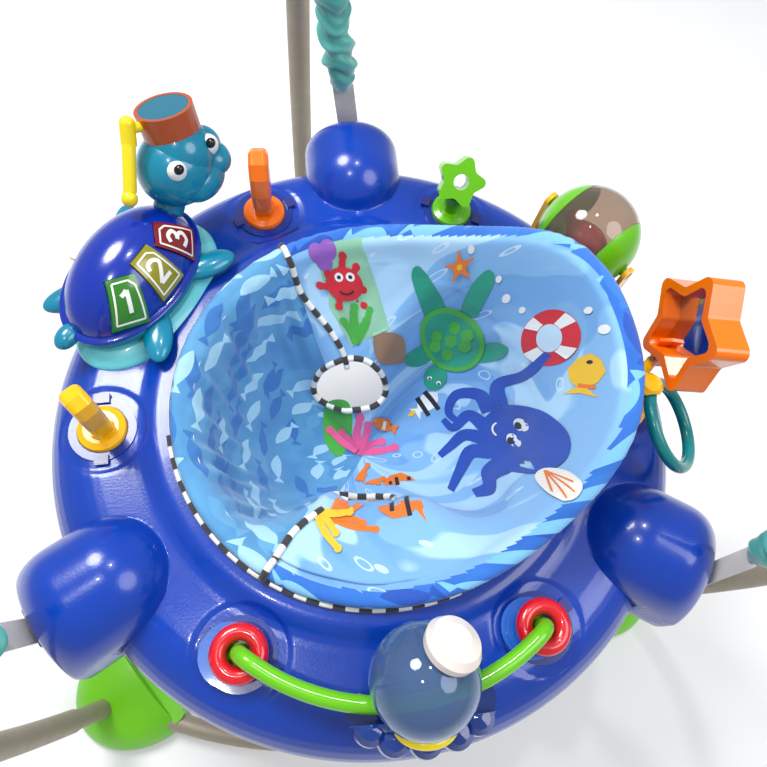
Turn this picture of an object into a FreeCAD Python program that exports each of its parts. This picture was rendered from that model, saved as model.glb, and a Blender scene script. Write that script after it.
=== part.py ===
import FreeCAD, Part
import math
import os

V = FreeCAD.Vector
UP = V(0, 0, 1)
os.makedirs("parts", exist_ok=True)

# Activity jumper: a round toy tray with a turning fabric seat, hung on three covered
# springs from a three-legged stand. All sizes are in millimetres. +Z is up, the floor
# is z = 0, +Y points to the back tower of the tray, and the origin is the middle of
# the whole footprint. The solids are built about the tray's own axis and shifted last.

# ---- overall layout -------------------------------------------------------------
hub_x, hub_y = -26.06, -70.54   # tray axis, seen from the middle of the footprint
rim_z = 415.0                 # height of the tray's rim edge above the floor
rim_r = 330.0                 # radius of the tray's rim
deck_z = rim_z + 40.0         # flat top of the tray
wall = 3.0                    # moulded plastic wall
gap = 0.6                     # clearance between parts that move on each other
tower_angles = [90.0, 211.5, 328.5]
stand_turn = 7.0              # the stand stands turned this far about the tray, degrees
post_angles = [90.0 + stand_turn, 210.0 + stand_turn, 330.0 + stand_turn]

# ---- tray and its towers --------------------------------------------------------
well_r = 192.0                # hole that the seat hangs in
tower_half = 55.0             # half width of a strap tower
tower_mid_z = rim_z + 25.0
tower_start_r, tower_end_r = 300.0, 367.0
skirt_drop = 22.0             # how far the rim hangs below the rim edge

# ---- stations of the toys: name -> (angle, radius) -------------------------------
stations = {
    "orange": (114.0, 267.0),
    "star": (65.0, 268.0),
    "ball": (33.0, 268.0),
    "mirror": (356.0, 270.0),
    "yellow": (183.0, 270.0),
    "left_bead": (239.5, 268.0),
    "right_bead": (300.5, 268.0),
}
turtle_angle, turtle_r = 149.0, 272.0
cup_bore, cup_r = 24.6, 27.0  # inside and outside of a toy socket

# ---- seat -----------------------------------------------------------------------
seat_turn = 3.0               # the seat's back points this far round from +X
fabric_r = 202.0              # outer edge of the fabric on the ring
fabric_top = rim_z + 58.0
back_rise = 120.0             # how far the back stands above the front
back_lean = 0.22              # outward lean of the back, radius over height
seat_depth = 150.0            # bottom of the bucket, below the rim edge
leg_gap = 52.0                # half width of the strip between the leg holes

# ---- stand ----------------------------------------------------------------------
foot_mid_r = 400.0            # flat inner face of a foot, from the tray axis
foot_deep, foot_half, foot_high = 104.0, 87.0, 62.0
post_foot_r, post_mid_r, post_top_r = 455.0, 490.0, 446.0
post_top_z = 790.0
tube_r = 12.5
pad_high = 4.0


# ---- shape helpers --------------------------------------------------------------
def cyl(radius, low, high, x=0.0, y=0.0):
    return Part.makeCylinder(radius, high - low, V(x, y, low))


def tube(outer, inner, low, high):
    return cyl(outer, low, high).cut(cyl(inner, low - 1, high + 1))


def rod(radius, start, end):
    along = end - start
    return Part.makeCylinder(radius, along.Length, start, along)


def box(x0, x1, y0, y1, z0, z1):
    return Part.makeBox(x1 - x0, y1 - y0, z1 - z0, V(x0, y0, z0))


def globe(radius, x=0.0, y=0.0, z=0.0):
    return Part.makeSphere(radius, V(x, y, z))


def egg(rx, ry, rz, x=0.0, y=0.0, z=0.0):
    stretch = FreeCAD.Matrix()
    stretch.scale(rx, ry, rz)
    shape = Part.makeSphere(1.0).transformGeometry(stretch)
    shape.translate(V(x, y, z))
    return shape


def lathe(points):
    """Closed outline of (radius, height) pairs, turned about Z."""
    wire = Part.makePolygon([V(r, 0, z) for r, z in points + points[:1]])
    return Part.Face(wire).revolve(V(0, 0, 0), UP, 360)


def prism(points, low, high):
    wire = Part.makePolygon([V(x, y, low) for x, y in points + points[:1]])
    return Part.Face(wire).extrude(V(0, 0, high - low))


def fuse(first, *others):
    return first.multiFuse(list(others))


def turn(shape, angle, axis=UP, about=V(0, 0, 0)):
    turned = shape.copy()
    turned.rotate(about, axis, angle)
    return turned


def polar(radius, angle, z, side=0.0):
    a = math.radians(angle)
    return V(radius * math.cos(a) - side * math.sin(a),
             radius * math.sin(a) + side * math.cos(a), z)


def at(shape, angle, radius, z=0.0):
    """Moves a shape built at the origin, +X outward, to a place on the tray."""
    moved = turn(shape, angle)
    moved.translate(polar(radius, angle, z))
    return moved


def bent_tube(edges, radius):
    """A round bar along a path of tangent edges."""
    path = Part.Wire(edges)
    first = edges[0]
    start = first.valueAt(first.FirstParameter)
    way = first.tangentAt(first.FirstParameter)
    ring = Part.Wire(Part.Circle(start, way, radius).toShape())
    return path.makePipeShell([ring], True, True)


def hollow_bend(edges, outer, inner):
    return bent_tube(edges, outer).cut(bent_tube(edges, inner))


def star_outline(outer, inner, points=5, turn_deg=90.0):
    outline = []
    for k in range(2 * points):
        a = math.radians(turn_deg + 180.0 * k / points)
        r = outer if k % 2 == 0 else inner
        outline.append((r * math.cos(a), r * math.sin(a)))
    return outline


def soft_star(outer, inner, half_thick, edge):
    """A five-armed star plate with rounded tips and corners."""
    plate = prism(star_outline(outer, inner), -half_thick, half_thick)
    upright = [e for e in plate.Edges if abs(e.tangentAt(e.FirstParameter).z) > 0.99]
    return plate.makeFillet(edge, upright)


def save(name, *shapes):
    solids = []
    for shape in shapes:
        solids.extend(shape.Solids)
    placed = []
    for solid in solids:
        solid = solid.copy()
        solid.translate(V(hub_x, hub_y, 0))
        placed.append(solid)
    whole = placed[0] if len(placed) == 1 else Part.makeCompound(placed)
    good = all(s.isValid() and s.Volume > 0 for s in placed)
    print(f"{name:18s} solids {len(placed):3d}  {'ok' if good else 'BAD'}"
          f"  volume {whole.Volume / 1000:9.1f} cm3")
    whole.exportStep(f"parts/{name}.step")


# ---- stand ----------------------------------------------------------------------
base_end_r = 415.0            # where a base tube enters a foot
base_mid_r = 345.0            # how near the tube comes to the tray axis between feet
base_swing = 8.0              # degrees from a foot's middle to the tube's end
base_z = pad_high + 21.0
post_start_z = 34.0


def base_path(angle):
    start = polar(base_end_r, angle + base_swing, base_z)
    middle = polar(base_mid_r, angle + 60.0, base_z)
    end = polar(base_end_r, angle + 120.0 - base_swing, base_z)
    return [Part.Arc(start, middle, end).toShape()]


def post_point(angle, share):
    """A point on the post's bow: share 0 at the foot, 1 at the top."""
    z = post_start_z + share * (post_top_z - post_start_z)
    straight = post_foot_r + share * (post_top_r - post_foot_r)
    bow = (post_mid_r - (post_foot_r + post_top_r) / 2) * 4 * share * (1 - share)
    return polar(straight + bow, angle, z)


def post_path(angle, start, end):
    points = [post_point(angle, start + (end - start) * k / 2) for k in range(3)]
    return [Part.Arc(*points).toShape()]


joint_share = 0.20            # the short lower post ends this far up the bow
sleeve_share = 0.14           # the upper post slides over it from here


def make_foot(angle):
    dome = egg(foot_deep, foot_half, foot_high, foot_mid_r, 0, pad_high)
    dome = dome.common(box(foot_mid_r - 1, foot_mid_r + foot_deep + 1,
                           -foot_half - 1, foot_half + 1, pad_high, 200))
    heel = box(foot_mid_r - 18, foot_mid_r, -foot_half + 7, foot_half - 7,
               pad_high, pad_high + 36)
    heel = heel.makeFillet(9, [e for e in heel.Edges
                               if abs(e.tangentAt(0).z) > 0.99 and e.BoundBox.XMax < foot_mid_r])
    foot = turn(fuse(dome, heel), angle)
    inside = egg(foot_deep - wall, foot_half - wall, foot_high - wall, foot_mid_r, 0, pad_high)
    inside = inside.common(box(foot_mid_r + wall, foot_mid_r + foot_deep, -foot_half,
                               foot_half, pad_high - 1, 200))
    foot = foot.cut(turn(inside, angle))
    sleeve = bent_tube(post_path(angle, 0.0, 0.05), tube_r + wall)
    sleeve = sleeve.common(turn(egg(foot_deep - 1, foot_half - 1, foot_high - 1,
                                    foot_mid_r, 0, pad_high), angle))
    foot = foot.fuse(sleeve)
    foot = foot.cut(bent_tube(post_path(angle, -0.02, 0.30), tube_r + 0.05))
    for near in (angle, angle - 120.0):
        foot = foot.cut(bent_tube(base_path(near), tube_r + 0.05))
    return foot


def make_pads(angle):
    pads = []
    for r, side in ((foot_mid_r - 10, -55), (foot_mid_r - 10, 55), (foot_mid_r + 88, 0)):
        pad = cyl(9.0, 0, pad_high)
        pads.append(at(pad, angle, r).copy())
        pads[-1].translate(polar(0, angle, 0, side))
    return pads


def make_stand():
    save("feet", *[make_foot(a) for a in post_angles])
    save("foot_pads", *[p for a in post_angles for p in make_pads(a)])
    save("base_tubes", *[hollow_bend(base_path(a), tube_r, tube_r - 1.5) for a in post_angles])
    save("lower_posts",
         *[hollow_bend(post_path(a, 0.0, joint_share), tube_r, tube_r - 1.5)
           for a in post_angles])
    sleeves = []
    for a in post_angles:
        upper = hollow_bend(post_path(a, sleeve_share, 1.0), tube_r + 1.6, tube_r + 0.05)
        sleeves.append(upper)
    save("upper_posts", *sleeves)
    buttons = []
    caps = []
    for a in post_angles:
        out = polar(1, a, 0)
        for share, seat_at in ((0.085, tube_r + 0.8), (0.17, tube_r + 2.5)):
            centre = post_point(a, share)
            buttons.append(rod(3.2, centre + out * seat_at, centre + out * (tube_r + 4.0)))
        top = post_point(a, 1.0)
        crown = globe(tube_r + 6.5, 0, 0, post_top_z)
        arm = box(-44, 0, -7, 7, post_top_z - 7, post_top_z + 7)
        eye = Part.makeCylinder(13, 16, V(-44, -8, post_top_z), V(0, 1, 0))
        cap = fuse(crown, arm, eye)
        cap = cap.cut(Part.makeCylinder(5, 40, V(-44, -20, post_top_z), V(0, 1, 0)))
        cap = at(cap, a, post_top_r).fuse(bent_tube(post_path(a, 0.972, 0.998), tube_r + 5))
        caps.append(cap.cut(bent_tube(post_path(a, 0.9, 1.0), tube_r + 1.7)))
    save("snap_buttons", *buttons)
    save("post_caps", *caps)


# ---- tray -----------------------------------------------------------------------
def tray_form(skin):
    """The tray's outer form, or with a skin its hollow inside."""
    s = skin
    bottom = rim_z - skirt_drop - (8 if s else 0)
    ring = lathe([
        (well_r + s, bottom), (rim_r - s, bottom), (rim_r - s, rim_z),
        (rim_r - 8 - s, rim_z + 14 - s / 2), (rim_r - 24 - s, rim_z + 30 - s),
        (rim_r - 44, deck_z - s), (232, deck_z - s), (224 - s / 2, deck_z + 4 - s),
        (218 - s / 2, deck_z + 8 - s), (well_r + s, deck_z + 8 - s),
    ])
    half = tower_half - s
    end = tower_end_r - s
    parts = [ring]
    for a in tower_angles:
        barrel = Part.makeCylinder(half, end - tower_start_r,
                                   V(tower_start_r, 0, tower_mid_z), V(1, 0, 0))
        nose = globe(half, tower_start_r, 0, tower_mid_z)
        skirt = box(tower_start_r - 6, end, -half, half, bottom, tower_mid_z)
        boss = fuse(barrel, nose, skirt)
        boss = boss.common(box(200, end + 1, -half - 1, half + 1, bottom, 600))
        rounder = fuse(cyl(half * 1.9, bottom, 600, end - half * 1.9, 0))
        parts.append(turn(boss.common(rounder), a))
    return fuse(*parts)


def make_tray():
    shell = tray_form(0).cut(tray_form(wall))
    holes = []
    for angle, radius in stations.values():
        holes.append(at(cyl(cup_r + 0.02, deck_z - 30, deck_z + 30), angle, radius))
    for a in tower_angles:
        holes.append(turn(box(tower_end_r - 12, tower_end_r + 8, -14, 14,
                              rim_z + 26, rim_z + 32), a))
    wires = at(cyl(9, deck_z - 20, deck_z + 20), turtle_angle, turtle_r)
    save("tray_shell", shell.cut(Part.makeCompound(holes + [wires])))

    floor_z = rim_z - skirt_drop
    pan = lathe([(well_r + 4, floor_z - 3), (rim_r - 7, floor_z - 3), (rim_r - 7, floor_z + 3),
                 (rim_r - 10, floor_z + 3), (rim_r - 10, floor_z), (well_r + 4, floor_z)])
    door_hole = at(box(-32, 32, -38, 38, -80, 0), turtle_angle, turtle_r, deck_z)
    save("tray_underside", pan.cut(door_hole))

    screws = []
    for k in range(12):
        a = 15 + 30 * k
        screws.append(at(fuse(cyl(4.5, floor_z - 6, floor_z - 3.02), cyl(2, floor_z - 4, floor_z + 12)),
                         a, 262).cut(pan))
    save("tray_screws", *[s.Solids[0] for s in screws])

    track = lathe([(182, rim_z + 6), (well_r - 0.1, rim_z + 6), (well_r - 0.1, rim_z + 30),
                   (well_r - 3, rim_z + 30), (well_r - 3, rim_z + 9), (182, rim_z + 9)])
    save("seat_track", track)

    cups = []
    clips = []
    for name, (angle, radius) in stations.items():
        cup = fuse(tube(cup_r, cup_bore, deck_z - 16, deck_z + 0.2),
                   tube(cup_r + 5.5, cup_bore, deck_z + 0.1, deck_z + 2.6),
                   cyl(cup_r, deck_z - 18, deck_z - 15.8), cyl(3.5, deck_z - 16, deck_z - 5))
        cups.append(at(cup, angle, radius))
        for way in (-1, 1):
            tab = box(-6.5, 6.5, 27, 37, deck_z + 2.65, deck_z + 5.5)
            leaf = box(-4.5, 4.5, 33, 36, deck_z + 0.1, deck_z + 2.65)
            clips.append(at(turn(fuse(tab, leaf), 90 * (1 + way)), angle, radius))
    save("toy_sockets", *cups)
    save("socket_clips", *clips)


# ---- straps and springs -----------------------------------------------------------
strap_in_r, strap_z = tower_end_r + 8.0, rim_z + 29.0
spring_low_share, spring_high_share = 0.23, 0.86


def strap_line(k):
    """From the bracket on tower k to the eye at the top of post k."""
    return (polar(strap_in_r, tower_angles[k], strap_z),
            polar(post_top_r - 44.0, post_angles[k], post_top_z - 6.0))


def flat_strap(start, end, width, thick, side_way):
    along = (end - start)
    length = along.Length
    along.normalize()
    across = side_way - along * side_way.dot(along)
    across.normalize()
    out = along.cross(across)
    corner = start - across * (width / 2) - out * (thick / 2)
    wire = Part.makePolygon([corner, corner + across * width,
                             corner + across * width + out * thick, corner + out * thick, corner])
    return Part.Face(wire).extrude(along * length)


def make_suspension():
    brackets, straps, adjusters, springs, covers = [], [], [], [], []
    rings = []
    for k in range(3):
        a = tower_angles[k]
        side = polar(0, a, 0, 1)
        low, high = strap_line(k)
        frame = box(tower_end_r + 0.3, tower_end_r + 6, -19, 19, rim_z + 20, rim_z + 38)
        frame = frame.makeFillet(2.5, [e for e in frame.Edges if abs(e.tangentAt(0).x) > 0.99])
        frame = frame.cut(box(tower_end_r - 1, tower_end_r + 8, -14, 14, rim_z + 26, rim_z + 32))
        brackets.append(turn(frame, a))
        lace = box(tower_end_r - 40, tower_end_r + 8.2, -12.5, 12.5, rim_z + 28.3, rim_z + 29.7)
        run_end = low + (high - low) * (spring_low_share - 0.02)
        straps.append(fuse(turn(lace, a), flat_strap(low, run_end, 25, 1.4, side)))
        slide = box(tower_end_r - 52, tower_end_r - 40.1, -17, 17, rim_z + 22, rim_z + 36)
        adjusters.append(turn(slide, a))
        coil_low = low + (high - low) * spring_low_share
        coil_high = low + (high - low) * spring_high_share
        coil = rod(11.0, coil_low, coil_high).cut(rod(8.0, coil_low, coil_high))
        web = rod(8.5, coil_low, coil_low + (coil_high - coil_low) * 0.01)
        hook = rod(2.2, run_end + (high - low) * 0.001, coil_low + (high - low) * 0.003)
        springs.append(fuse(coil, web, hook))
        cover_low = low + (high - low) * (spring_low_share - 0.015)
        cover_high = low + (high - low) * (spring_high_share + 0.015)
        covers.append(rod(21.0, cover_low, cover_high).cut(rod(13.5, cover_low, cover_high)))
        loop_z = post_top_z - 14.0
        loop = Part.makeTorus(14, 2.0, V(post_top_r - 44.0, 0, loop_z), V(1, 0, 0))
        stem_top = polar(post_top_r - 44.0, post_angles[k], loop_z - 14.0)
        stem = rod(2.2, coil_high + (high - low) * 0.002, stem_top)
        rings.append(fuse(turn(loop, post_angles[k]), stem))
    save("strap_brackets", *brackets)
    save("strap_webbing", *straps)
    save("strap_adjusters", *adjusters)
    save("springs", *springs)
    save("spring_covers", *covers)
    save("hanging_rings", *rings)


# ---- seat -----------------------------------------------------------------------
def make_seat():
    ring = lathe([(182.5, rim_z + 22), (well_r - 4, rim_z + 22), (well_r - 4, rim_z + 49),
                  (fabric_r - 2, rim_z + 49), (fabric_r - 2, rim_z + 52), (182.5, rim_z + 52)])
    axle_slots = []
    rollers = []
    for k in range(6):
        wheel = Part.makeCylinder(5, 2.6, V(184.0, 0, rim_z + 14.4), V(1, 0, 0))
        axle = Part.makeCylinder(1.5, 5.0, V(182.8, 0, rim_z + 14.4), V(1, 0, 0))
        inner_cheek = box(182.6, 183.7, -2.5, 2.5, rim_z + 11.9, rim_z + 23)
        outer_cheek = box(186.9, 187.9, -2.5, 2.5, rim_z + 11.9, rim_z + 23)
        rollers.append(turn(wheel.cut(axle), 60 * k + 30))
        axle_slots.append(turn(fuse(axle, inner_cheek, outer_cheek), 60 * k + 30))
    spots = [(45 * k + 20, fabric_r - 9) for k in range(8)]
    for spot in spots:
        ring = ring.cut(at(cyl(4.3, rim_z + 48, rim_z + 51.2), *spot))
    save("seat_ring", fuse(ring, *axle_slots))
    save("seat_rollers", *rollers)

    cloth = 6.0
    bottom = rim_z - seat_depth
    outer = [(fabric_r + 1, rim_z + 52.4), (fabric_r + 1, fabric_top), (181, fabric_top),
             (175, rim_z + 30), (168, rim_z), (150, rim_z - 50), (124, rim_z - 100),
             (90, bottom + 14), (50, bottom + cloth), (0, bottom + cloth), (0, bottom),
             (54, bottom), (96, bottom + 8), (130, rim_z - 104), (157, rim_z - 52),
             (175, rim_z - 2), (181.8, rim_z + 30), (181.8, rim_z + 52.4)]
    bucket = lathe(outer)
    for way in (-1, 1):
        hole = box(-62, 34, min(way * leg_gap, way * 160), max(way * leg_gap, way * 160),
                   bottom - 10, rim_z - 62)
        hole = hole.makeFillet(18, [e for e in hole.Edges if abs(e.tangentAt(0).y) > 0.99])
        bucket = bucket.cut(hole)
    high = fabric_top + back_rise
    lean = back_lean * (high - fabric_top)
    back = lathe([(fabric_r - 11, fabric_top - 0.5), (fabric_r, fabric_top - 0.5),
                  (fabric_r + lean, high), (fabric_r - 11 + lean, high)])
    edge = []
    for x, share in ((-60, 0.0), (30, 0.1), (100, 0.26), (150, 0.5), (195, 0.84), (225, 0.98),
                     (260, 1.0)):
        edge.append(V(x, -300, fabric_top + 0.5 + back_rise * share))
    side = [V(260, -300, fabric_top - 1), V(-60, -300, fabric_top - 1)]
    outline = Part.makePolygon(edge + side + edge[:1])
    back = back.common(Part.Face(outline).extrude(V(0, 600, 0)))
    fabric = turn(fuse(bucket, back), seat_turn)
    save("seat_fabric", fabric)
    save("seat_snaps", *[at(cyl(4, rim_z + 48.6, rim_z + 50.9), *spot) for spot in spots])


# ---- toys -----------------------------------------------------------------------
def plug():
    """Base of a toy that drops into a socket; local z = 0 is the deck."""
    body = lathe([(0, -14.5), (23.2, -14.5), (23.2, 3), (24, 3.2), (23, 7), (17, 9.5), (0, 10)])
    return body.cut(cyl(4.2, -15, -3.5))


def make_pegs():
    """Two thick paddles and a star that turn on their socket pins."""
    for name, spin in (("orange_paddle", -25.0), ("yellow_paddle", 128.0)):
        angle, radius = stations[name.split("_")[0]]
        plate = prism([(-10, 0), (-17, 22), (-20, 46), (-17, 70), (-8, 85), (6, 90), (16, 84),
                       (20, 70), (19, 46), (15, 22), (11, 0)], -10.5, 10.5)
        plate = turn(plate, 90, V(1, 0, 0))
        plate = plate.makeFillet(6, [e for e in plate.Edges if e.BoundBox.YLength < 0.01])
        plate.translate(V(0, 0, 6))
        neck = cyl(12.5, 4, 16)
        paddle = turn(fuse(plate, neck), spin).fuse(plug())
        save(name, at(paddle, angle, radius, deck_z))
    angle, radius = stations["star"]
    star = soft_star(33, 19, 11, 6).cut(cyl(8.5, -20, 20))
    star = turn(star, 48, V(0, 1, 0))
    star.translate(V(0, 0, 56))
    stem = rod(11, V(0, 0, 6), V(0, 0, 34))
    star = turn(fuse(stem, star), -160).fuse(plug())
    save("star_toy", at(star, angle, radius, deck_z))


ball_r = 54.0
ball_out, ball_up = 21.0, 66.0     # ball centre from its socket


def make_ball():
    angle, radius = stations["ball"]
    centre = V(ball_out, 0, ball_up)
    band = globe(ball_r, *centre).cut(globe(ball_r - 2, *centre))
    band = band.common(box(-60, 100, -29.7, 29.7, -20, 160))
    caps = globe(ball_r, *centre).cut(globe(ball_r - 2.5, *centre))
    caps = caps.cut(box(-60, 100, -30, 30, -20, 160))
    pins = []
    for way in (-1, 1):
        pins.append(rod(5, centre + V(0, way * (ball_r - 3.2), 0), centre + V(0, way * 61, 0)))
    caps = fuse(caps, *pins)
    fish = egg(20, 26, 15, *(centre + V(0, 0, -6)))
    tail = egg(7, 10, 14, *(centre + V(6, 27, -4)))
    save("ball_window", at(band, angle, radius, deck_z))
    save("ball_caps", at(caps, angle, radius, deck_z))
    save("ball_fish", at(fuse(fish, tail), angle, radius, deck_z))
    arms = []
    for way in (-1, 1):
        top = centre + V(0, way * 59.0, 0)
        arm = prism([(-9, 0), (9, 0), (13, -60), (-13, -60)], -2.6, 2.6)
        arm = turn(arm, 90, V(1, 0, 0))
        arm = fuse(arm, Part.makeCylinder(9, 5.2, V(0, -2.6, 0), V(0, 1, 0)))
        lower = arm.copy()
        lower.translate(top)
        arms.append(lower)
    bridge = box(-13 + ball_out, 13 + ball_out, -61.6, 61.6, 3, 8)
    yoke = fuse(bridge, *arms)
    yoke = yoke.cut(globe(ball_r + 1.2, *centre))
    yoke = yoke.cut(rod(5.1, centre - V(0, 70, 0), centre + V(0, 70, 0)))
    yoke = fuse(yoke, plug().cut(globe(ball_r + 1.2, *centre)))
    save("ball_yoke", at(yoke, angle, radius, deck_z))


mirror_tilt = 7.0
mirror_centre = V(40.0, 46.0, 94.0)     # from its socket: outward, round, up
ring_r, ring_thick = 44.0, 6.2
ring_centre = V(31.0, -30.0, 33.0)
ring_normal = V(0.65, -0.02, 0.76)


def make_mirror():
    angle, radius = stations["mirror"]
    stack = lathe([(0, 8), (21, 8), (20, 14), (17, 15), (16.5, 34), (14, 50), (13, 66),
                   (9, 71), (0, 72)])
    elbow, rise = V(12, 26, 23), V(30, 46, 24)
    arm = fuse(rod(6, V(4, 6, 30), elbow), globe(6, *elbow), rod(6, elbow, rise), globe(6, *rise),
               rod(5, rise, V(30, 46, 38)))
    hinge = Part.makeCylinder(7, 12, V(30, 40, 38), V(0, 1, 0))
    post = fuse(plug(), stack, arm, hinge)
    post = post.cut(Part.makeCylinder(4.1, 40, V(30, 26, 38), V(0, 1, 0)))
    post = post.cut(Part.makeTorus(ring_r, ring_thick + 2.4, ring_centre, ring_normal))
    save("mirror_post", at(post, angle, radius, deck_z))

    star = soft_star(67, 41, 17, 9)
    pocket = soft_star(54, 32, 17, 7)
    pocket.translate(V(0, 0, 8))
    frame = star.cut(pocket)
    glass = soft_star(53.4, 31.6, 1.2, 7)
    glass.translate(V(0, 0, -3.6))
    lugs = []
    for shape in (frame, glass):
        shape.rotate(V(0, 0, 0), UP, 5)
        shape.rotate(V(0, 0, 0), V(0, 1, 0), -90 + mirror_tilt)
        shape.translate(mirror_centre)
    for way in (-1, 1):
        y0, y1 = sorted((46 + way * 6.6, 46 + way * 10.5))
        lugs.append(box(24, 44, y0, y1, 33, 58))
    pin = Part.makeCylinder(4, 21, V(30, 35.5, 38), V(0, 1, 0))
    frame = frame.cut(Part.makeCylinder(8.5, 14, V(30, 39, 38), V(0, 1, 0)))
    frame = fuse(frame, pin, *lugs)
    save("mirror_frame", at(frame, angle, radius, deck_z))
    save("mirror_glass", at(glass.cut(frame), angle, radius, deck_z))
    loop = Part.makeTorus(ring_r, ring_thick, ring_centre, ring_normal)
    save("teal_ring", at(loop, angle, radius, deck_z))


bead_tube_r = 7.5
bead_rise, bead_bend = 20.0, 16.0
bar_z = deck_z + bead_rise + bead_bend
bar_turn = 36.9                          # the bar leaves each socket this far off the X axis


def make_bead_bar():
    left = polar(stations["left_bead"][1], stations["left_bead"][0], 0)
    way = V(math.cos(math.radians(-bar_turn)), math.sin(math.radians(-bar_turn)), 0)
    foot = V(left.x, left.y, deck_z + 4)
    knee = V(left.x, left.y, deck_z + bead_rise)
    mid_bend = knee + way * (bead_bend * (1 - math.cos(math.pi / 4))) \
        + UP * (bead_bend * math.sin(math.pi / 4))
    level = knee + way * bead_bend + UP * bead_bend
    half = math.radians(bar_turn / 2)
    middle = V(0, level.y + level.x * math.tan(half), bar_z)

    def mirrored(p):
        return V(-p.x, p.y, p.z)

    edges = [
        Part.LineSegment(foot, knee).toShape(),
        Part.Arc(knee, mid_bend, level).toShape(),
        Part.Arc(level, middle, mirrored(level)).toShape(),
        Part.Arc(mirrored(level), mirrored(mid_bend), mirrored(knee)).toShape(),
        Part.LineSegment(mirrored(knee), mirrored(foot)).toShape(),
    ]
    bar = bent_tube(edges, bead_tube_r)
    plugs = []
    for name in ("left_bead", "right_bead"):
        angle, radius = stations[name]
        plugs.append(at(plug().cut(cyl(30, 4.02, 30)), angle, radius, deck_z))
    save("bead_tube", bar)
    save("bead_bases", *[p.cut(bar) for p in plugs])
    for name in ("left", "right"):
        angle, radius = stations[name + "_bead"]
        spot = polar(radius, angle, 0)
        bead = Part.makeTorus(18, 7.6, V(0, 0, deck_z + 15.6))
        discs = [tube(27.5 - 1.5 * k, 17.5 - 2.6 * k, deck_z + 5.8 + 1.3 * k, deck_z + 6.8 + 1.3 * k)
                 for k in range(3)]
        for k, disc in enumerate(discs):
            disc.translate(V(-9 + 2.6 * k, 0, 0))
        bead.translate(UP * 2.2)
        for shape in [bead] + discs:
            shape.translate(spot)
        save(f"red_bead_{name}", bead)
        save(f"bead_discs_{name}", *discs)
    return middle, abs(level.x) / math.sin(math.radians(bar_turn))


octo_x = 17.0


def make_octopus(middle, bend_r):
    axis = V(octo_x, middle.y + 0.7, bar_z)
    # The head is hollow; the bar crosses its lower half through a wide curved opening.
    passage = Part.makeTorus(bend_r, 12.5, V(0, middle.y + bend_r, bar_z), V(0, 0, 1))
    head = globe(46, octo_x, -264, deck_z + 58).cut(globe(44, octo_x, -264, deck_z + 58))
    neck_cut = box(octo_x - 60, octo_x + 60, -345, -279, deck_z, deck_z + 62)
    head = head.cut(neck_cut).cut(passage)
    head = max(head.Solids, key=lambda s: s.Volume)
    # The legs hold the bar in a short bore; to both sides they are open at the back.
    lobes = []
    for k in range(7):
        a = math.radians(180 + 30 * k)
        lobe = lathe([(0, -15), (7, -14), (12.5, -9), (15.5, -1), (14, 7), (9, 13), (0, 15)])
        lobe.translate(V(octo_x + 52 * math.cos(a), axis.y - 3 + 26 * math.sin(a),
                         deck_z + 26 + 1.5 * (k % 2)))
        lobes.append(lobe)
    core = lathe([(0, -46), (8, -44.5), (14, -40), (17.5, -33), (18.5, -26),
                  (18.5, 26), (17.5, 33), (14, 40), (8, 44.5), (0, 46)])
    core = turn(core, 90, V(0, 1, 0))
    core.translate(V(octo_x, axis.y - 5, deck_z + 33))
    legs = fuse(core, *lobes).cut(globe(46.3, octo_x, -264, deck_z + 58))
    for way in (-1, 1):
        near, far = sorted((octo_x + way * 17, octo_x + way * 100))
        legs = legs.cut(box(near, far, axis.y - 13, axis.y + 80, deck_z + 21, deck_z + 90))
    slope = math.asin(octo_x / bend_r)
    along = V(math.cos(slope), math.sin(slope), 0) * 30
    legs = legs.cut(rod(9.4, axis - along, axis + along))
    legs = max(legs.Solids, key=lambda s: s.Volume)
    hat = lathe([(0, 0), (18, 0), (23, 5), (24, 12), (20, 19), (10, 23), (0, 24)])
    hat_way = V(0.36, 0.46, 0.81)
    hat.Placement = FreeCAD.Placement(V(octo_x, -264, deck_z + 58) + hat_way * 41,
                                      FreeCAD.Rotation(UP, hat_way))
    hat = hat.cut(globe(46.1, octo_x, -264, deck_z + 58))
    down = V(0, -0.80, -0.60)
    collar = Part.makeTorus(24, 4.5, V(octo_x, -264, deck_z + 58) + down * 41, down)
    collar = collar.cut(legs).cut(globe(46.3, octo_x, -264, deck_z + 58))
    collar = max(collar.Solids, key=lambda s: s.Volume)
    save("octopus_head", head)
    save("octopus_legs", legs)
    save("octopus_hat", hat)
    save("octopus_collar", collar)


# ---- turtle console ---------------------------------------------------------------
# Local frame: +X outward from the tray axis, +Y towards the tail, z = 0 at the deck.
shell_x, shell_z = 12.0, 26.0
shell_size = (54.0, 86.0, 60.0)
slide_y = 20.0                           # middle of the volume slider's slot
button_push = V(0.62, 0.0, -0.78)        # the way a button travels when pressed
button_spots = {"one": 38.0, "two": 0.0, "three": -38.0}


def shell_egg(grow):
    return egg(shell_size[0] + grow, shell_size[1] + grow, shell_size[2] + grow,
               shell_x, 0, shell_z)


def button_prism(name, ease):
    """Tapered block along the press direction."""
    side = button_spots[name]
    narrow, wide, long = 13.0 + ease, 18.0 + ease, 24.0 + ease
    block = prism([(-long, -narrow), (-long, narrow), (long, wide), (long, -wide)], -30, 30)
    lean = math.degrees(math.atan2(button_push.x, -button_push.z))
    block = turn(block, -180 - side * 0.9)
    block = turn(block, -lean, V(0, 1, 0))
    block.translate(V(shell_x - 36 + abs(side) * 0.12, side * 1.12, shell_z + 36))
    return block


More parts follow.
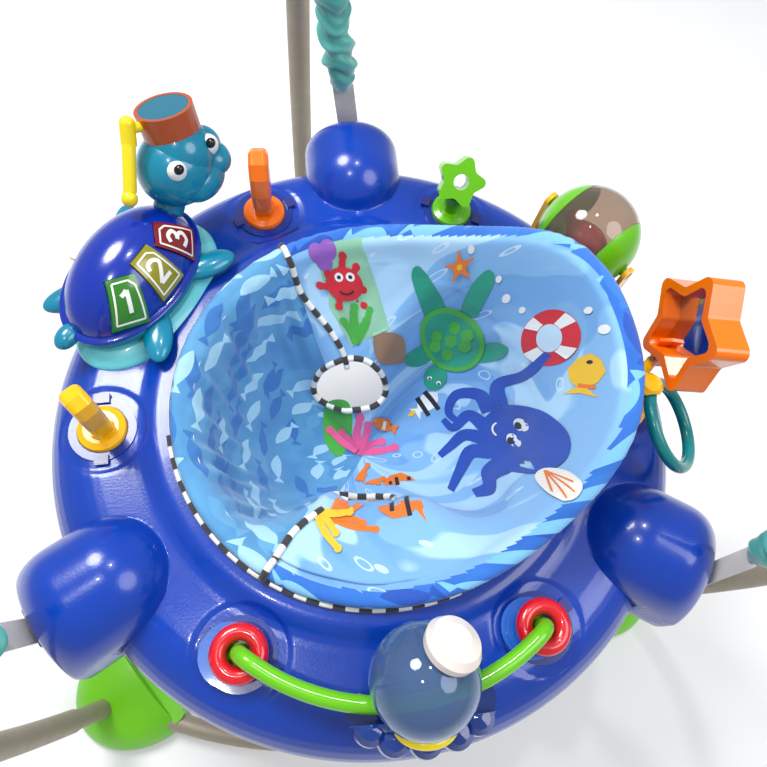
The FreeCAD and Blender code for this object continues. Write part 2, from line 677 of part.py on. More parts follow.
def make_turtle():
    place = (turtle_angle, turtle_r, deck_z)
    base = egg(60, 100, 20, 0, 0, 2).common(box(-70, 70, -110, 110, 0.3, 15))
    base = base.cut(egg(56, 96, 17, 0, 0, 0.3).common(box(-70, 70, -110, 110, -1, 12)))
    ridge = lathe([(0, deck_z - 2), (233, deck_z - 2), (233, deck_z + 0.4), (225, deck_z + 4.5),
                   (219, deck_z + 8.5), (0, deck_z + 8.5)])
    save("turtle_base", at(base, *place).cut(ridge))

    belly = egg(52, 88, 16, 6, 0, shell_z)
    fins = []
    for x, y, angle in ((-46, 44, 35), (-44, -50, -35), (52, 48, -35), (54, -48, 35)):
        fins.append(turn(egg(15, 32, 9, 0, 0, 0), angle).copy())
        fins[-1].translate(V(x, y, 23))
    tail = egg(11, 16, 9, 26, 90, 30)
    neck = rod(16, V(14, -70, 44), V(14, -106, 84))
    inside = egg(46, 80, 60, 6, 0, 22).common(box(-80, 80, -110, 110, 14.9, 100))
    body = fuse(belly, tail, *fins).cut(inside)
    body = body.cut(shell_egg(0.3).common(box(-80, 100, -120, 120, shell_z + 2, 200)))
    body = body.cut(egg(60.3, 100.3, 20.3, 0, 0, 2).common(box(-70, 70, -110, 110, -1, 15)))
    body = max(body.Solids, key=lambda s: s.Volume)

    shell = shell_egg(0).cut(shell_egg(-2.6)).common(box(-80, 100, -120, 120, shell_z + 2.2, 200))
    lip = egg(59, 91, 7, shell_x, 0, shell_z + 8).cut(shell_egg(-2.0))
    lip = lip.common(box(-90, 110, -120, 120, shell_z + 2.2, 200))
    shell = fuse(shell, lip)
    for name in button_spots:
        shell = shell.cut(button_prism(name, 0.6))
    shell = shell.cut(box(40, 75, slide_y - 9.6, slide_y + 9.6, 52.6, 59.4))
    shell = shell.cut(rod(16.3, V(14, -62, 35.1), V(14, -124, 104)))
    shell = max(shell.Solids, key=lambda s: s.Volume)
    body = body.cut(shell)
    save("turtle_shell", at(shell, *place))

    head = fuse(globe(35, 14, -116, 98), egg(24, 20, 17, -6, -134, 86), neck)
    body = body.cut(head)
    body = max(body.Solids, key=lambda s: s.Volume)
    save("turtle_body", at(body, *place))
    up_way = V(0.30, -0.18, 0.94)
    drum_start = V(22, -121, 113)
    goggles = Part.makeCylinder(29, 30, drum_start, up_way)
    goggles = goggles.cut(Part.makeCylinder(25.05, 10, drum_start + up_way * 27.0, up_way))
    lens = Part.makeCylinder(25, 2.5, drum_start + up_way * 27.1, up_way)
    head = head.cut(Part.makeCylinder(29, 40, drum_start, up_way))
    pipe = fuse(rod(7.5, V(45, -89, 144), V(40, -78, 128)), globe(7.5, 45, -89, 144),
                rod(6.5, V(40, -78, 130), V(27, -48, 100)), globe(8, 25, -43, 97),
                rod(5, V(44, -87, 140), V(34, -108, 132)))
    pipe = pipe.cut(fuse(goggles, head, shell))
    pipe = max(pipe.Solids, key=lambda s: s.Volume)
    save("turtle_head", at(head, *place))
    save("goggles", at(goggles, *place))
    save("goggle_lens", at(lens, *place))
    save("snorkel", at(pipe, *place))

    for name in button_spots:
        key = shell_egg(3.2).cut(shell_egg(-5.5)).common(button_prism(name, 0.0))
        key = max(key.Solids, key=lambda s: s.Volume)
        save(f"button_{name}", at(key, *place))

    board = box(-20, 30, -42, 42, 18, 19.6)
    cone = lathe([(0, 20), (20, 20), (20, 24), (10, 32), (0, 32)])
    cone.translate(V(20, 20, 0))
    low = -40 - skirt_drop
    cells = [Part.makeCylinder(7, 50, V(-16 + 16 * k, -25, low + 9), V(0, 1, 0)) for k in range(3)]
    case = box(-30, 30, -36, 36, low + 0.3, low + 24)
    case = case.cut(box(-27, 27, -33, 33, low, low + 21))
    save("sound_board", at(board, *place))
    save("speaker", at(cone, *place))
    save("battery_cells", *[at(c, *place) for c in cells])
    save("battery_case", at(case, *place))
    save("battery_door", at(box(-31.5, 31.5, -37.5, 37.5, low - 3, low), *place))
    knob = box(49, 62, slide_y - 5, slide_y + 5, 53.2, 58.8)
    save("volume_slider", at(knob.makeFillet(1.5, knob.Edges), *place))


make_stand()
make_tray()
make_suspension()
make_seat()
make_pegs()
make_ball()
make_mirror()
make_octopus(*make_bead_bar())
make_turtle()
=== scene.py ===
import bpy
import math
import numpy as np
from mathutils import Matrix, Vector
from mathutils.bvhtree import BVHTree
from mathutils.geometry import delaunay_2d_cdt


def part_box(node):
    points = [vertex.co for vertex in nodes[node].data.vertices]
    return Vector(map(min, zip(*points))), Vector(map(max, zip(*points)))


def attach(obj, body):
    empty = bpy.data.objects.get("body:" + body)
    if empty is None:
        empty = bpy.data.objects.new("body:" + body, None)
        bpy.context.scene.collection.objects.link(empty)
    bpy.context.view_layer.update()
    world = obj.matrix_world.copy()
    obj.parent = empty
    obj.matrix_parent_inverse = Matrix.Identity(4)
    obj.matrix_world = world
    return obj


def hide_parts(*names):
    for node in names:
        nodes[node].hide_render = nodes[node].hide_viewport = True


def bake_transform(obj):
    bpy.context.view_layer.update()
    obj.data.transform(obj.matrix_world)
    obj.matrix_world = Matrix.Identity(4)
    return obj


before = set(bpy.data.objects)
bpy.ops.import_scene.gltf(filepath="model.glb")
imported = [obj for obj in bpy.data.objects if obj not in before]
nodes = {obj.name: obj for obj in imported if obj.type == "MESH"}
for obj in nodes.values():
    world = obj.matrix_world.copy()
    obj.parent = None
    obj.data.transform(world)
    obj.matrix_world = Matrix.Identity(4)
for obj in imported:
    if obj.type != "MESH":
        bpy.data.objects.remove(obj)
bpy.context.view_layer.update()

# ---- where things are -------------------------------------------------------------
track_lo, track_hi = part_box("seat_track")
hub = Vector(((track_lo.x + track_hi.x) / 2, (track_lo.y + track_hi.y) / 2, track_lo.z - 0.006))
TOWERS = [90.0, 211.5, 328.5]
POSTS = [97.0, 217.0, 337.0]
STATIONS = {"orange": (114.0, 267.0), "star": (65.0, 268.0), "ball": (33.0, 268.0),
            "mirror": (356.0, 270.0), "yellow": (183.0, 270.0), "left": (239.5, 268.0),
            "right": (300.5, 268.0)}
TURTLE = (149.0, 272.0)
DECK = 40.0


def at(x, y, z):
    """Millimetres from the tray's axis and rim height, to metres in the row frame."""
    return hub + Vector((x, y, z)) / 1000


def polar(r, a, z, side=0.0):
    t = math.radians(a)
    return at(r * math.cos(t) - side * math.sin(t), r * math.sin(t) + side * math.cos(t), z)


def local(place, x, y, z):
    """A point in a toy's own frame: x outward, y round, z above the deck."""
    angle, radius = place
    return polar(radius + x, angle, DECK + z, y)


# ---- materials --------------------------------------------------------------------
def rgb(r, g, b):
    def lin(c):
        c = c / 255
        return c / 12.92 if c <= 0.04045 else ((c + 0.055) / 1.055) ** 2.4
    return (lin(r), lin(g), lin(b), 1.0)


class Nodes:
    """A small helper to wire shader nodes."""
    def __init__(self, name):
        self.mat = bpy.data.materials.new(name)
        self.mat.use_nodes = True
        self.tree = self.mat.node_tree
        self.tree.nodes.clear()
        self.out = self.add("ShaderNodeOutputMaterial")
        self.bsdf = self.add("ShaderNodeBsdfPrincipled")
        self.link(self.bsdf.outputs[0], self.out.inputs[0])

    def add(self, kind, **values):
        node = self.tree.nodes.new(kind)
        for key, value in values.items():
            setattr(node, key, value)
        return node

    def link(self, a, b):
        self.tree.links.new(a, b)

    def put(self, socket, value):
        if hasattr(value, "node"):
            self.link(value, socket)
        else:
            socket.default_value = value

    def math(self, op, a, b=0.0, c=0.0, clamp=False):
        node = self.add("ShaderNodeMath", operation=op, use_clamp=clamp)
        for socket, value in zip(node.inputs, (a, b, c)):
            self.put(socket, value)
        return node.outputs[0]

    def mix(self, share, a, b):
        node = self.add("ShaderNodeMix", data_type="RGBA")
        self.put(node.inputs[0], share)
        self.put(node.inputs[6], a)
        self.put(node.inputs[7], b)
        return node.outputs[2]

    def coords(self, kind="Object", scale=(1, 1, 1), turn=(0, 0, 0)):
        source = self.add("ShaderNodeTexCoord")
        move = self.add("ShaderNodeMapping")
        move.inputs["Scale"].default_value = scale
        move.inputs["Rotation"].default_value = turn
        self.link(source.outputs[kind], move.inputs[0])
        return move.outputs[0]

    def noise(self, where, scale, detail=2.0, rough=0.5):
        node = self.add("ShaderNodeTexNoise")
        self.link(where, node.inputs["Vector"])
        node.inputs["Scale"].default_value = scale
        node.inputs["Detail"].default_value = detail
        node.inputs["Roughness"].default_value = rough
        return node.outputs[0]

    def span(self, value, lo, hi, out_lo=0.0, out_hi=1.0):
        node = self.add("ShaderNodeMapRange")
        self.put(node.inputs[0], value)
        node.inputs[1].default_value = lo
        node.inputs[2].default_value = hi
        node.inputs[3].default_value = out_lo
        node.inputs[4].default_value = out_hi
        return node.outputs[0]

    def give(self, name, value):
        """A number, a colour or another node's output for the surface's input of that name."""
        self.put(self.bsdf.inputs[name], value)

    def bump(self, height, strength, distance):
        node = self.add("ShaderNodeBump")
        self.put(node.inputs["Height"], height)
        node.inputs["Strength"].default_value = strength
        node.inputs["Distance"].default_value = distance
        self.give("Normal", node.outputs[0])


def plastic(name, colour, rough=0.22, coat=0.35, wear=0.06, grain=0.15, see=0.0, ior=1.46):
    """Moulded plastic: faint orange peel, soft wear in the gloss, slight shade drift."""
    n = Nodes(name)
    where = n.coords()
    drift = n.noise(where, 7.0, 3.0)
    dark = tuple(c * 0.86 for c in colour[:3]) + (1.0,)
    n.give("Base Color", n.mix(n.span(drift, 0.3, 0.7), dark, colour))
    smear = n.noise(where, 38.0, 5.0, 0.65)
    n.give("Roughness", n.span(smear, 0.25, 0.75, rough, rough + wear))
    n.give("Coat Weight", coat)
    n.give("Coat Roughness", 0.06)
    n.give("IOR", ior)
    n.bump(n.noise(where, 420.0, 2.0), grain, 0.0004)
    if see:
        n.give("Transmission Weight", see)
    return n.mat


def metal(name, colour, rough, metallic, grain=0.2):
    n = Nodes(name)
    where = n.coords()
    speck = n.noise(where, 900.0, 3.0)
    dark = tuple(c * 0.8 for c in colour[:3]) + (1.0,)
    n.give("Base Color", n.mix(n.span(speck, 0.35, 0.65), dark, colour))
    n.give("Roughness", n.span(n.noise(where, 60.0, 4.0), 0.3, 0.7, rough, rough + 0.15))
    n.give("Metallic", metallic)
    n.bump(speck, grain, 0.0003)
    return n.mat


def weave(n, where, size, strength=0.5):
    """Crossing threads as a height, from coordinates in metres."""
    split = n.add("ShaderNodeSeparateXYZ")
    n.link(where, split.inputs[0])
    turns = 2 * math.pi / size
    a = n.math("SINE", n.math("MULTIPLY", split.outputs[0], turns))
    b = n.math("SINE", n.math("MULTIPLY", split.outputs[1], turns))
    return n.math("MULTIPLY", n.math("MULTIPLY", a, b), strength)


def cloth(name, colour, alt, size=0.0016, rough=0.82, sheen=0.3):
    n = Nodes(name)
    where = n.coords("UV")
    threads = weave(n, where, size)
    cloud = n.noise(where, 30.0, 4.0)
    shade = n.math("ADD", n.span(threads, -0.5, 0.5, 0.0, 0.5), n.span(cloud, 0.3, 0.7, 0, 0.5))
    n.give("Base Color", n.mix(shade, alt, colour))
    n.give("Roughness", rough)
    n.give("Sheen Weight", sheen)
    n.bump(threads, 0.35, 0.0006)
    return n.mat


TRAY_BLUE = plastic("tray_blue_gloss", rgb(2, 58, 166), 0.2, 0.3, 0.08, 0.25)
UNDER_BLUE = plastic("tray_under_blue", rgb(14, 50, 130), 0.45, 0.0)
CLIP_NAVY = plastic("clip_navy_gloss", rgb(38, 44, 120), 0.25)
SOCKET_BLUE = plastic("socket_blue_gloss", rgb(4, 46, 140), 0.22)
SHELL_BLUE = plastic("shell_blue_gloss", rgb(4, 44, 160), 0.16, 0.4)
TEAL = plastic("turtle_teal_gloss", rgb(0, 128, 160), 0.2, 0.45)
AQUA = plastic("aqua_gloss", rgb(110, 215, 225), 0.25)
RING_TEAL = plastic("ring_teal_gloss", rgb(0, 130, 132), 0.22)
ORANGE = plastic("orange_gloss", rgb(255, 118, 0), 0.2, 0.4)
YELLOW = plastic("yellow_gloss", rgb(255, 188, 0), 0.22)
LEMON = plastic("lemon_gloss", rgb(248, 222, 20), 0.24)
GREEN = plastic("green_gloss", rgb(104, 194, 6), 0.22, 0.4)
FOOT_GREEN = plastic("foot_green_satin", rgb(112, 200, 14), 0.38, 0.15)
RED = plastic("bead_red_gloss", rgb(214, 18, 36), 0.18, 0.5)
FISH_RED = plastic("fish_red_gloss", rgb(226, 40, 66), 0.3)
WHITE = plastic("warm_white_gloss", rgb(236, 224, 216), 0.24)
PURE_WHITE = plastic("eye_white_gloss", rgb(240, 240, 236), 0.15)
BLACK = plastic("eye_black_gloss", rgb(12, 12, 14), 0.1)
BROWN = plastic("goggle_brown_gloss", rgb(176, 74, 26), 0.3)
LENS = plastic("lens_teal_gloss", rgb(0, 104, 130), 0.16)
GREY_PLASTIC = plastic("track_plastic", rgb(214, 216, 216), 0.4, 0.0)
DISC_BLUE = plastic("disc_blue_gloss", rgb(20, 96, 196), 0.25)
CAP_BLUE = plastic("cap_blue_gloss", rgb(10, 70, 170), 0.3)
BOARD = plastic("board_green", rgb(20, 90, 46), 0.5, 0.0)
KEY_GREEN = plastic("key_green_clear", rgb(44, 128, 30), 0.16, 0.6)
KEY_OLIVE = plastic("key_olive_clear", rgb(146, 140, 14), 0.16, 0.6)
KEY_RED = plastic("key_red_clear", rgb(128, 14, 20), 0.16, 0.6)
SMOKE = plastic("smoke_clear", rgb(214, 196, 180), 0.04, 0.5, 0.02, 0.05, 0.92, 1.25)
OCTO_CLEAR = plastic("octopus_clear", rgb(120, 158, 208), 0.06, 0.5, 0.03, 0.05, 0.75, 1.3)
OCTO_BLUE = plastic("octopus_blue", rgb(18, 66, 160), 0.1, 0.6, 0.05, 0.1, 0.4)
TUBE_PAINT = metal("tube_powder_coat", rgb(168, 156, 138), 0.42, 0.35)
STEEL = metal("plated_steel", rgb(190, 190, 188), 0.25, 1.0, 0.1)
RUBBER = plastic("pad_rubber", rgb(28, 28, 30), 0.7, 0.0)
CAN = metal("cell_can", rgb(170, 150, 90), 0.3, 0.9)
WEB = cloth("webbing_weave", rgb(226, 222, 212), rgb(178, 176, 168), 0.0024, 0.8, 0.2)


def mirror_material():
    n = Nodes("plastic_mirror")
    where = n.coords()
    cloud = n.span(n.noise(where, 20.0), 0.3, 0.7)
    n.give("Base Color", n.mix(cloud, (0.66, 0.69, 0.72, 1), (0.8, 0.82, 0.84, 1)))
    n.give("Metallic", 1.0)
    n.give("Roughness", n.span(n.noise(where, 90.0, 4.0), 0.3, 0.7, 0.03, 0.09))
    n.bump(n.noise(where, 9.0, 1.0), 0.25, 0.004)
    return n.mat


MIRROR = mirror_material()

CAD_LOOKS = {
    "feet": FOOT_GREEN, "foot_pads": RUBBER, "base_tubes": TUBE_PAINT, "lower_posts": TUBE_PAINT,
    "upper_posts": TUBE_PAINT, "snap_buttons": STEEL, "post_caps": CAP_BLUE, "hanging_rings": STEEL,
    "tray_underside": UNDER_BLUE, "tray_screws": STEEL, "seat_track": GREY_PLASTIC,
    "toy_sockets": SOCKET_BLUE, "socket_clips": CLIP_NAVY, "strap_brackets": CLIP_NAVY,
    "strap_adjusters": GREY_PLASTIC, "springs": STEEL, "seat_ring": GREY_PLASTIC,
    "seat_rollers": GREY_PLASTIC, "seat_snaps": GREY_PLASTIC, "orange_paddle": ORANGE,
    "yellow_paddle": YELLOW, "star_toy": GREEN, "ball_window": SMOKE, "ball_caps": GREEN,
    "ball_fish": FISH_RED, "ball_yoke": YELLOW, "mirror_post": YELLOW, "mirror_frame": ORANGE,
    "mirror_glass": MIRROR, "teal_ring": RING_TEAL, "bead_tube": GREEN, "bead_bases": GREEN,
    "red_bead_left": RED, "red_bead_right": RED, "bead_discs_left": DISC_BLUE,
    "bead_discs_right": DISC_BLUE, "octopus_head": OCTO_CLEAR, "octopus_legs": OCTO_BLUE,
    "octopus_hat": WHITE, "octopus_collar": LEMON, "turtle_base": AQUA, "turtle_shell": SHELL_BLUE,
    "turtle_body": TEAL, "turtle_head": TEAL, "goggles": BROWN, "goggle_lens": LENS,
    "snorkel": LEMON, "button_one": KEY_GREEN, "button_two": KEY_OLIVE, "button_three": KEY_RED,
    "sound_board": BOARD, "speaker": RUBBER, "battery_cells": CAN, "battery_case": CLIP_NAVY,
    "battery_door": UNDER_BLUE, "volume_slider": WHITE,
}
for name, look in CAD_LOOKS.items():
    if name in nodes:
        nodes[name].data.materials.clear()
        nodes[name].data.materials.append(look)


# ---- mesh helpers -----------------------------------------------------------------
def build(name, verts, faces, look, uvs=None, smooth=True):
    mesh = bpy.data.meshes.new(name)
    mesh.from_pydata([tuple(v) for v in verts], [], faces)
    if uvs is not None:
        layer = mesh.uv_layers.new(name="UVMap")
        picks = np.array([loop.vertex_index for loop in mesh.loops])
        layer.data.foreach_set("uv", np.asarray(uvs, np.float32)[picks].ravel())
    for one in (look if isinstance(look, list) else [look]):
        mesh.materials.append(one)
    mesh.polygons.foreach_set("use_smooth", [smooth] * len(mesh.polygons))
    obj = bpy.data.objects.new(name, mesh)
    bpy.context.scene.collection.objects.link(obj)
    return obj


def grid_faces(nu, nv, wrap):
    """Quads over nu columns of nv points; wrap joins the last column to the first."""
    faces = []
    for i in range(nu if wrap else nu - 1):
        j = (i + 1) % nu
        for k in range(nv - 1):
            faces.append((i * nv + k, j * nv + k, j * nv + k + 1, i * nv + k + 1))
    return faces


def apply_modifiers(obj):
    bpy.context.view_layer.objects.active = obj
    depsgraph = bpy.context.evaluated_depsgraph_get()
    mesh = bpy.data.meshes.new_from_object(obj.evaluated_get(depsgraph))
    obj.modifiers.clear()
    obj.data = mesh
    return obj


def sweep(name, points, radius, look, sides=14, closed=False, uv_scale=1.0):
    """A round bar along points; radius is a number or one per point. UV: round, along."""
    pts = [Vector(p) for p in points]
    count = len(pts)
    radii = radius if hasattr(radius, "__len__") else [radius] * count
    tangents = []
    for i in range(count):
        before = pts[(i - 1) % count] if closed or i else pts[i]
        after = pts[(i + 1) % count] if closed or i < count - 1 else pts[i]
        tangents.append((after - before).normalized())
    side = tangents[0].orthogonal().normalized()
    verts, uvs, length = [], [], 0.0
    for i in range(count):
        t = tangents[i]
        side = (side - t * side.dot(t)).normalized()
        other = t.cross(side)
        if i:
            length += (pts[i] - pts[i - 1]).length
        for k in range(sides + 1):
            a = 2 * math.pi * k / sides
            verts.append(pts[i] + (side * math.cos(a) + other * math.sin(a)) * radii[i])
            uvs.append((k / sides, length * uv_scale))
    faces = grid_faces(count, sides + 1, closed)
    if not closed:
        faces.append(tuple(range(sides)))
        faces.append(tuple(reversed(range((count - 1) * (sides + 1), count * (sides + 1) - 1))))
    return build(name, verts, faces, look, uvs)


def rode(obj, body):
    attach(obj, body)
    return obj


def soft_max(a, b, k):
    share = np.clip(0.5 + 0.5 * (a - b) / k, 0, 1)
    return b * (1 - share) + a * share + k * share * (1 - share)


def soft_step(x, lo, hi):
    t = np.clip((x - lo) / (hi - lo), 0, 1)
    return t * t * (3 - 2 * t)


# ---- tray -------------------------------------------------------------------------
RIM_R, WELL_R = 330.0, 192.0
TOWER_HALF, TOWER_END = 55.0, 367.0


def tower_outline(delta):
    """Distance from the axis to a tower's side or end, at an angle off its middle."""
    d = np.radians(np.maximum(np.abs(delta), 0.01))
    side = TOWER_HALF / np.sin(d)
    end = TOWER_END / np.cos(d)
    return -soft_max(-side, -end, 14.0)


def tray_outline(angle):
    out = np.full_like(angle, RIM_R)
    for a in TOWERS:
        delta = (angle - a + 180) % 360 - 180
        near = np.abs(delta) < 25
        out = np.where(near, soft_max(tower_outline(delta), out, 5.0), out)
    return out


def deck_height(r):
    """The deck's height over the rim, from the raised lip of the well out to the rolled rim."""
    return np.interp(r, [192, 216, 221, 226, 231, 237, 243, 276, 284, 292, 300, 308, 315, 321, 326,
                         329, 331],
                     [48, 48, 47, 44.4, 41.8, 40.4, 40, 40, 39.5, 38, 35, 30.4, 24.6, 17.6, 9.5, 2.5, -4])


def tray_height(x, y):
    r = np.hypot(x, y)
    z = deck_height(r)
    for a in TOWERS:
        t = math.radians(a)
        u = x * math.cos(t) + y * math.sin(t)
        v = -x * math.sin(t) + y * math.cos(t)
        core = TOWER_HALF ** 2 - v ** 2 - np.maximum(0, 300 - u) ** 2
        h = 25 + np.sqrt(np.maximum(core, 0)) - 28 * (np.maximum(u - 330, 0) / 37) ** 2.2
        h = np.where((core > 0) & (u > 0), h, -100.0)
        z = soft_max(z, h, 9.0)
    for angle, radius in STATIONS.values():
        t = math.radians(angle)
        d = np.hypot(x - radius * math.cos(t), y - radius * math.sin(t))
        z = z - 1.6 * soft_step(-d, -46.0, -42.0)
    return z


def make_tray():
    angles = list(np.arange(0, 360, 0.5))
    for a in TOWERS:
        for way in (-1, 1):
            angles += list(a + way * np.arange(7.4, 11.2, 0.07))
    angles = np.unique(np.round(np.mod(angles, 360), 4))
    outline = tray_outline(angles)
    steps = np.concatenate([np.linspace(0, 0.86, 64), 1 - (1 - np.linspace(0, 1, 34)[1:]) ** 1.7 * 0.14])
    rows = []
    edge = 4.0
    for a, out in zip(angles, outline):
        t = math.radians(a)
        r = WELL_R + 3 + (out - WELL_R - 3) * steps
        z = tray_height(r * math.cos(t), r * math.sin(t))
        near = np.clip(edge - (out - r), 0, edge)
        z = z - (edge - np.sqrt(edge ** 2 - near ** 2))
        z = np.maximum(z, -3.0)
        inner_r = np.array([WELL_R, WELL_R, WELL_R, WELL_R + 0.4, WELL_R + 1.4])
        inner_z = np.array([-22, 0, 44, 46.4, 47.6])
        skirt_r = np.array([out, out, out - 0.4, out - 2.4])
        low = z[-1]
        skirt_z = np.array([low - 2, (low - 22) / 2, -21, -22])
        rows.append((np.concatenate([inner_r, r, skirt_r]), np.concatenate([inner_z, z, skirt_z])))
    verts = []
    for a, (r, z) in zip(angles, rows):
        t = math.radians(a)
        for rr, zz in zip(r, z):
            verts.append(at(rr * math.cos(t), rr * math.sin(t), zz))
    per = len(rows[0][0])
    tray = build("tray_top", verts, grid_faces(len(angles), per, True), TRAY_BLUE)
    shell = tray.modifiers.new("wall", "SOLIDIFY")
    shell.thickness = 0.0024
    shell.offset = -1
    apply_modifiers(tray)
    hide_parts("tray_shell")
    return rode(tray, "tray")


make_tray()


# ---- seat -------------------------------------------------------------------------
BACK = 3.0                      # the high back's middle, degrees round from +X
SEAMS = (116.0, 236.0)


def back_top(phi):
    off = abs((phi - BACK + 180) % 360 - 180)
    return 60 + 116 / (1 + (off / 47) ** 4)


def seat_profile(phi):
    """Outline of the cover at one angle, from the flange's lower edge up, over and in."""
    top = back_top(phi)
    lean = 203 + 0.22 * (top - 54)
    rise = top - 60
    out = [(200, 52.6), (203.0, 54), (203 + 0.22 * rise * 0.33, 57 + rise * 0.33),
           (203 + 0.22 * rise * 0.7, 57 + rise * 0.7), (lean - 0.6, top - 4), (lean - 3.5, top),
           (lean - 9, top + 0.6), (lean - 16, top - 3.0), (lean - 23, top - 9)]
    inner_z = [42 + rise * 0.55, 34 + rise * 0.2, 16, -14, -50, -84, -112, -132, -143, -147, -148]
    inner_r = [176 + 0.17 * rise * 0.6, 172 + 0.1 * rise * 0.2, 167, 160, 147, 129, 108, 82, 54, 26, 0]
    inner = np.array(list(zip(inner_r, inner_z)))
    low = rise / 116
    far = float(soft_step(np.array(phi), 40, 78) * (1 - soft_step(np.array(phi), 108, 134)))
    near = float(soft_step(np.array(phi), 216, 240) * (1 - soft_step(np.array(phi), 290, 322)))
    slope = [(176 + 9 * low, 40 + rise * 0.5), (165 + 6 * low, 24 + rise * 0.25),
             (150, 6), (134, -11), (117, -28), (100, -45), (84, -64), (66, -88), (46, -114),
             (24, -138), (0, -148)]
    shelf = [(182, 57 + rise * 0.5), (166, 52 + rise * 0.3), (144, 44 + rise * 0.1),
             (121, 32), (101, 13), (90, -18), (85, -62), (76, -102), (54, -132), (26, -146), (0, -148)]
    inner = inner + far * (np.array(slope) - inner)
    inner = inner + near * (np.array(shelf) - inner)
    return out + [tuple(p) for p in inner]


def spline(p0, p1, p2, p3, t):
    """Catmull-Rom point between p1 and p2."""
    return 0.5 * (2 * p1 + (p2 - p0) * t + (2 * p0 - 5 * p1 + 4 * p2 - p3) * t ** 2
                  + (3 * p1 - p0 - 3 * p2 + p3) * t ** 3)


def smooth_line(points, count):
    """Evenly spaced points on a smooth line through the given ones, and its length."""
    pts = np.array(points, float)
    full = np.vstack([2 * pts[0] - pts[1], pts, 2 * pts[-1] - pts[-2]])
    fine = []
    for i in range(1, len(full) - 2):
        fine += [spline(*full[i - 1:i + 3], t) for t in np.linspace(0, 1, 14, endpoint=False)]
    fine.append(full[-2])
    fine = np.array(fine)
    run = np.concatenate([[0], np.cumsum(np.linalg.norm(np.diff(fine, axis=0), axis=1))])
    even = np.linspace(0, run[-1], count)
    return np.stack([np.interp(even, run, fine[:, c]) for c in range(fine.shape[1])], 1), run[-1]


SEAT_U, SEAT_V = 420, 150


def seat_grid():
    grid = np.zeros((SEAT_U, SEAT_V, 3))
    run = np.zeros((SEAT_U, SEAT_V))
    for i in range(SEAT_U):
        phi = 360.0 * i / SEAT_U
        line, length = smooth_line(seat_profile(phi), SEAT_V)
        t = math.radians(phi)
        r, z = line[:, 0].copy(), line[:, 1].copy()
        s = np.linspace(0, length, SEAT_V)
        run[i] = s
        front = float(soft_step(np.array(phi), SEAMS[0] - 6, SEAMS[0] + 6)
                      * (1 - soft_step(np.array(phi), SEAMS[1] - 6, SEAMS[1] + 6)))
        wall = np.exp(-((z + 5) / 62) ** 2) * soft_step(r, 60.0, 120.0) * (s > 30)
        pleat = np.sin(t * 34 + 1.3 * np.sin(t * 9) + z * 0.018) + 0.6 * np.sin(t * 57 + z * 0.03 + 2)
        r = r - front * wall * 2.4 * pleat
        soft = np.sin(t * 11 + z * 0.045 + 1.0) + 0.7 * np.sin(t * 19 - z * 0.06 + 2.2)
        r = r - (1 - front) * wall * 1.3 * soft - 0.8 * np.sin(t * 23 + z * 0.08) * (z < 40) * (r > 60)
        lip = np.exp(-((s - 14) / 12) ** 2)
        z = z + lip * 0.7 * np.sin(t * 61 + np.sin(t * 13) * 2)
        grid[i, :, 0] = r * math.cos(t)
        grid[i, :, 1] = r * math.sin(t)
        grid[i, :, 2] = z
    return grid, run


GRID, RUN = seat_grid()


def seat_at(phi, s, lift=0.0):
    """Point on the cover at an angle and a distance in mm from its outer edge."""
    u = (phi % 360) / 360 * SEAT_U
    i = int(u) % SEAT_U
    f = u - int(u)
    j = (i + 1) % SEAT_U

    def pick(col, dist):
        v = min(max(dist / RUN[col][-1], 0), 0.9999) * (SEAT_V - 1)
        k = int(v)
        g = v - k
        return GRID[col, k] * (1 - g) + GRID[col, k + 1] * g

    def spot(d):
        return pick(i, d) * (1 - f) + pick(j, d) * f
    p = spot(s)
    if lift:
        du = pick(j, s) - pick(i, s)
        dv = spot(s + 2) - spot(s - 2)
        n = np.cross(du, dv)
        length = np.linalg.norm(n)
        if length > 1e-9:
            p = p - n / length * lift * SIDE
    return p


out_of_wall = np.cross(GRID[1, 75] - GRID[0, 75], GRID[0, 77] - GRID[0, 73])
SIDE = -1.0 if np.dot(out_of_wall, GRID[0, 75] * np.array([1, 1, 0])) < 0 else 1.0


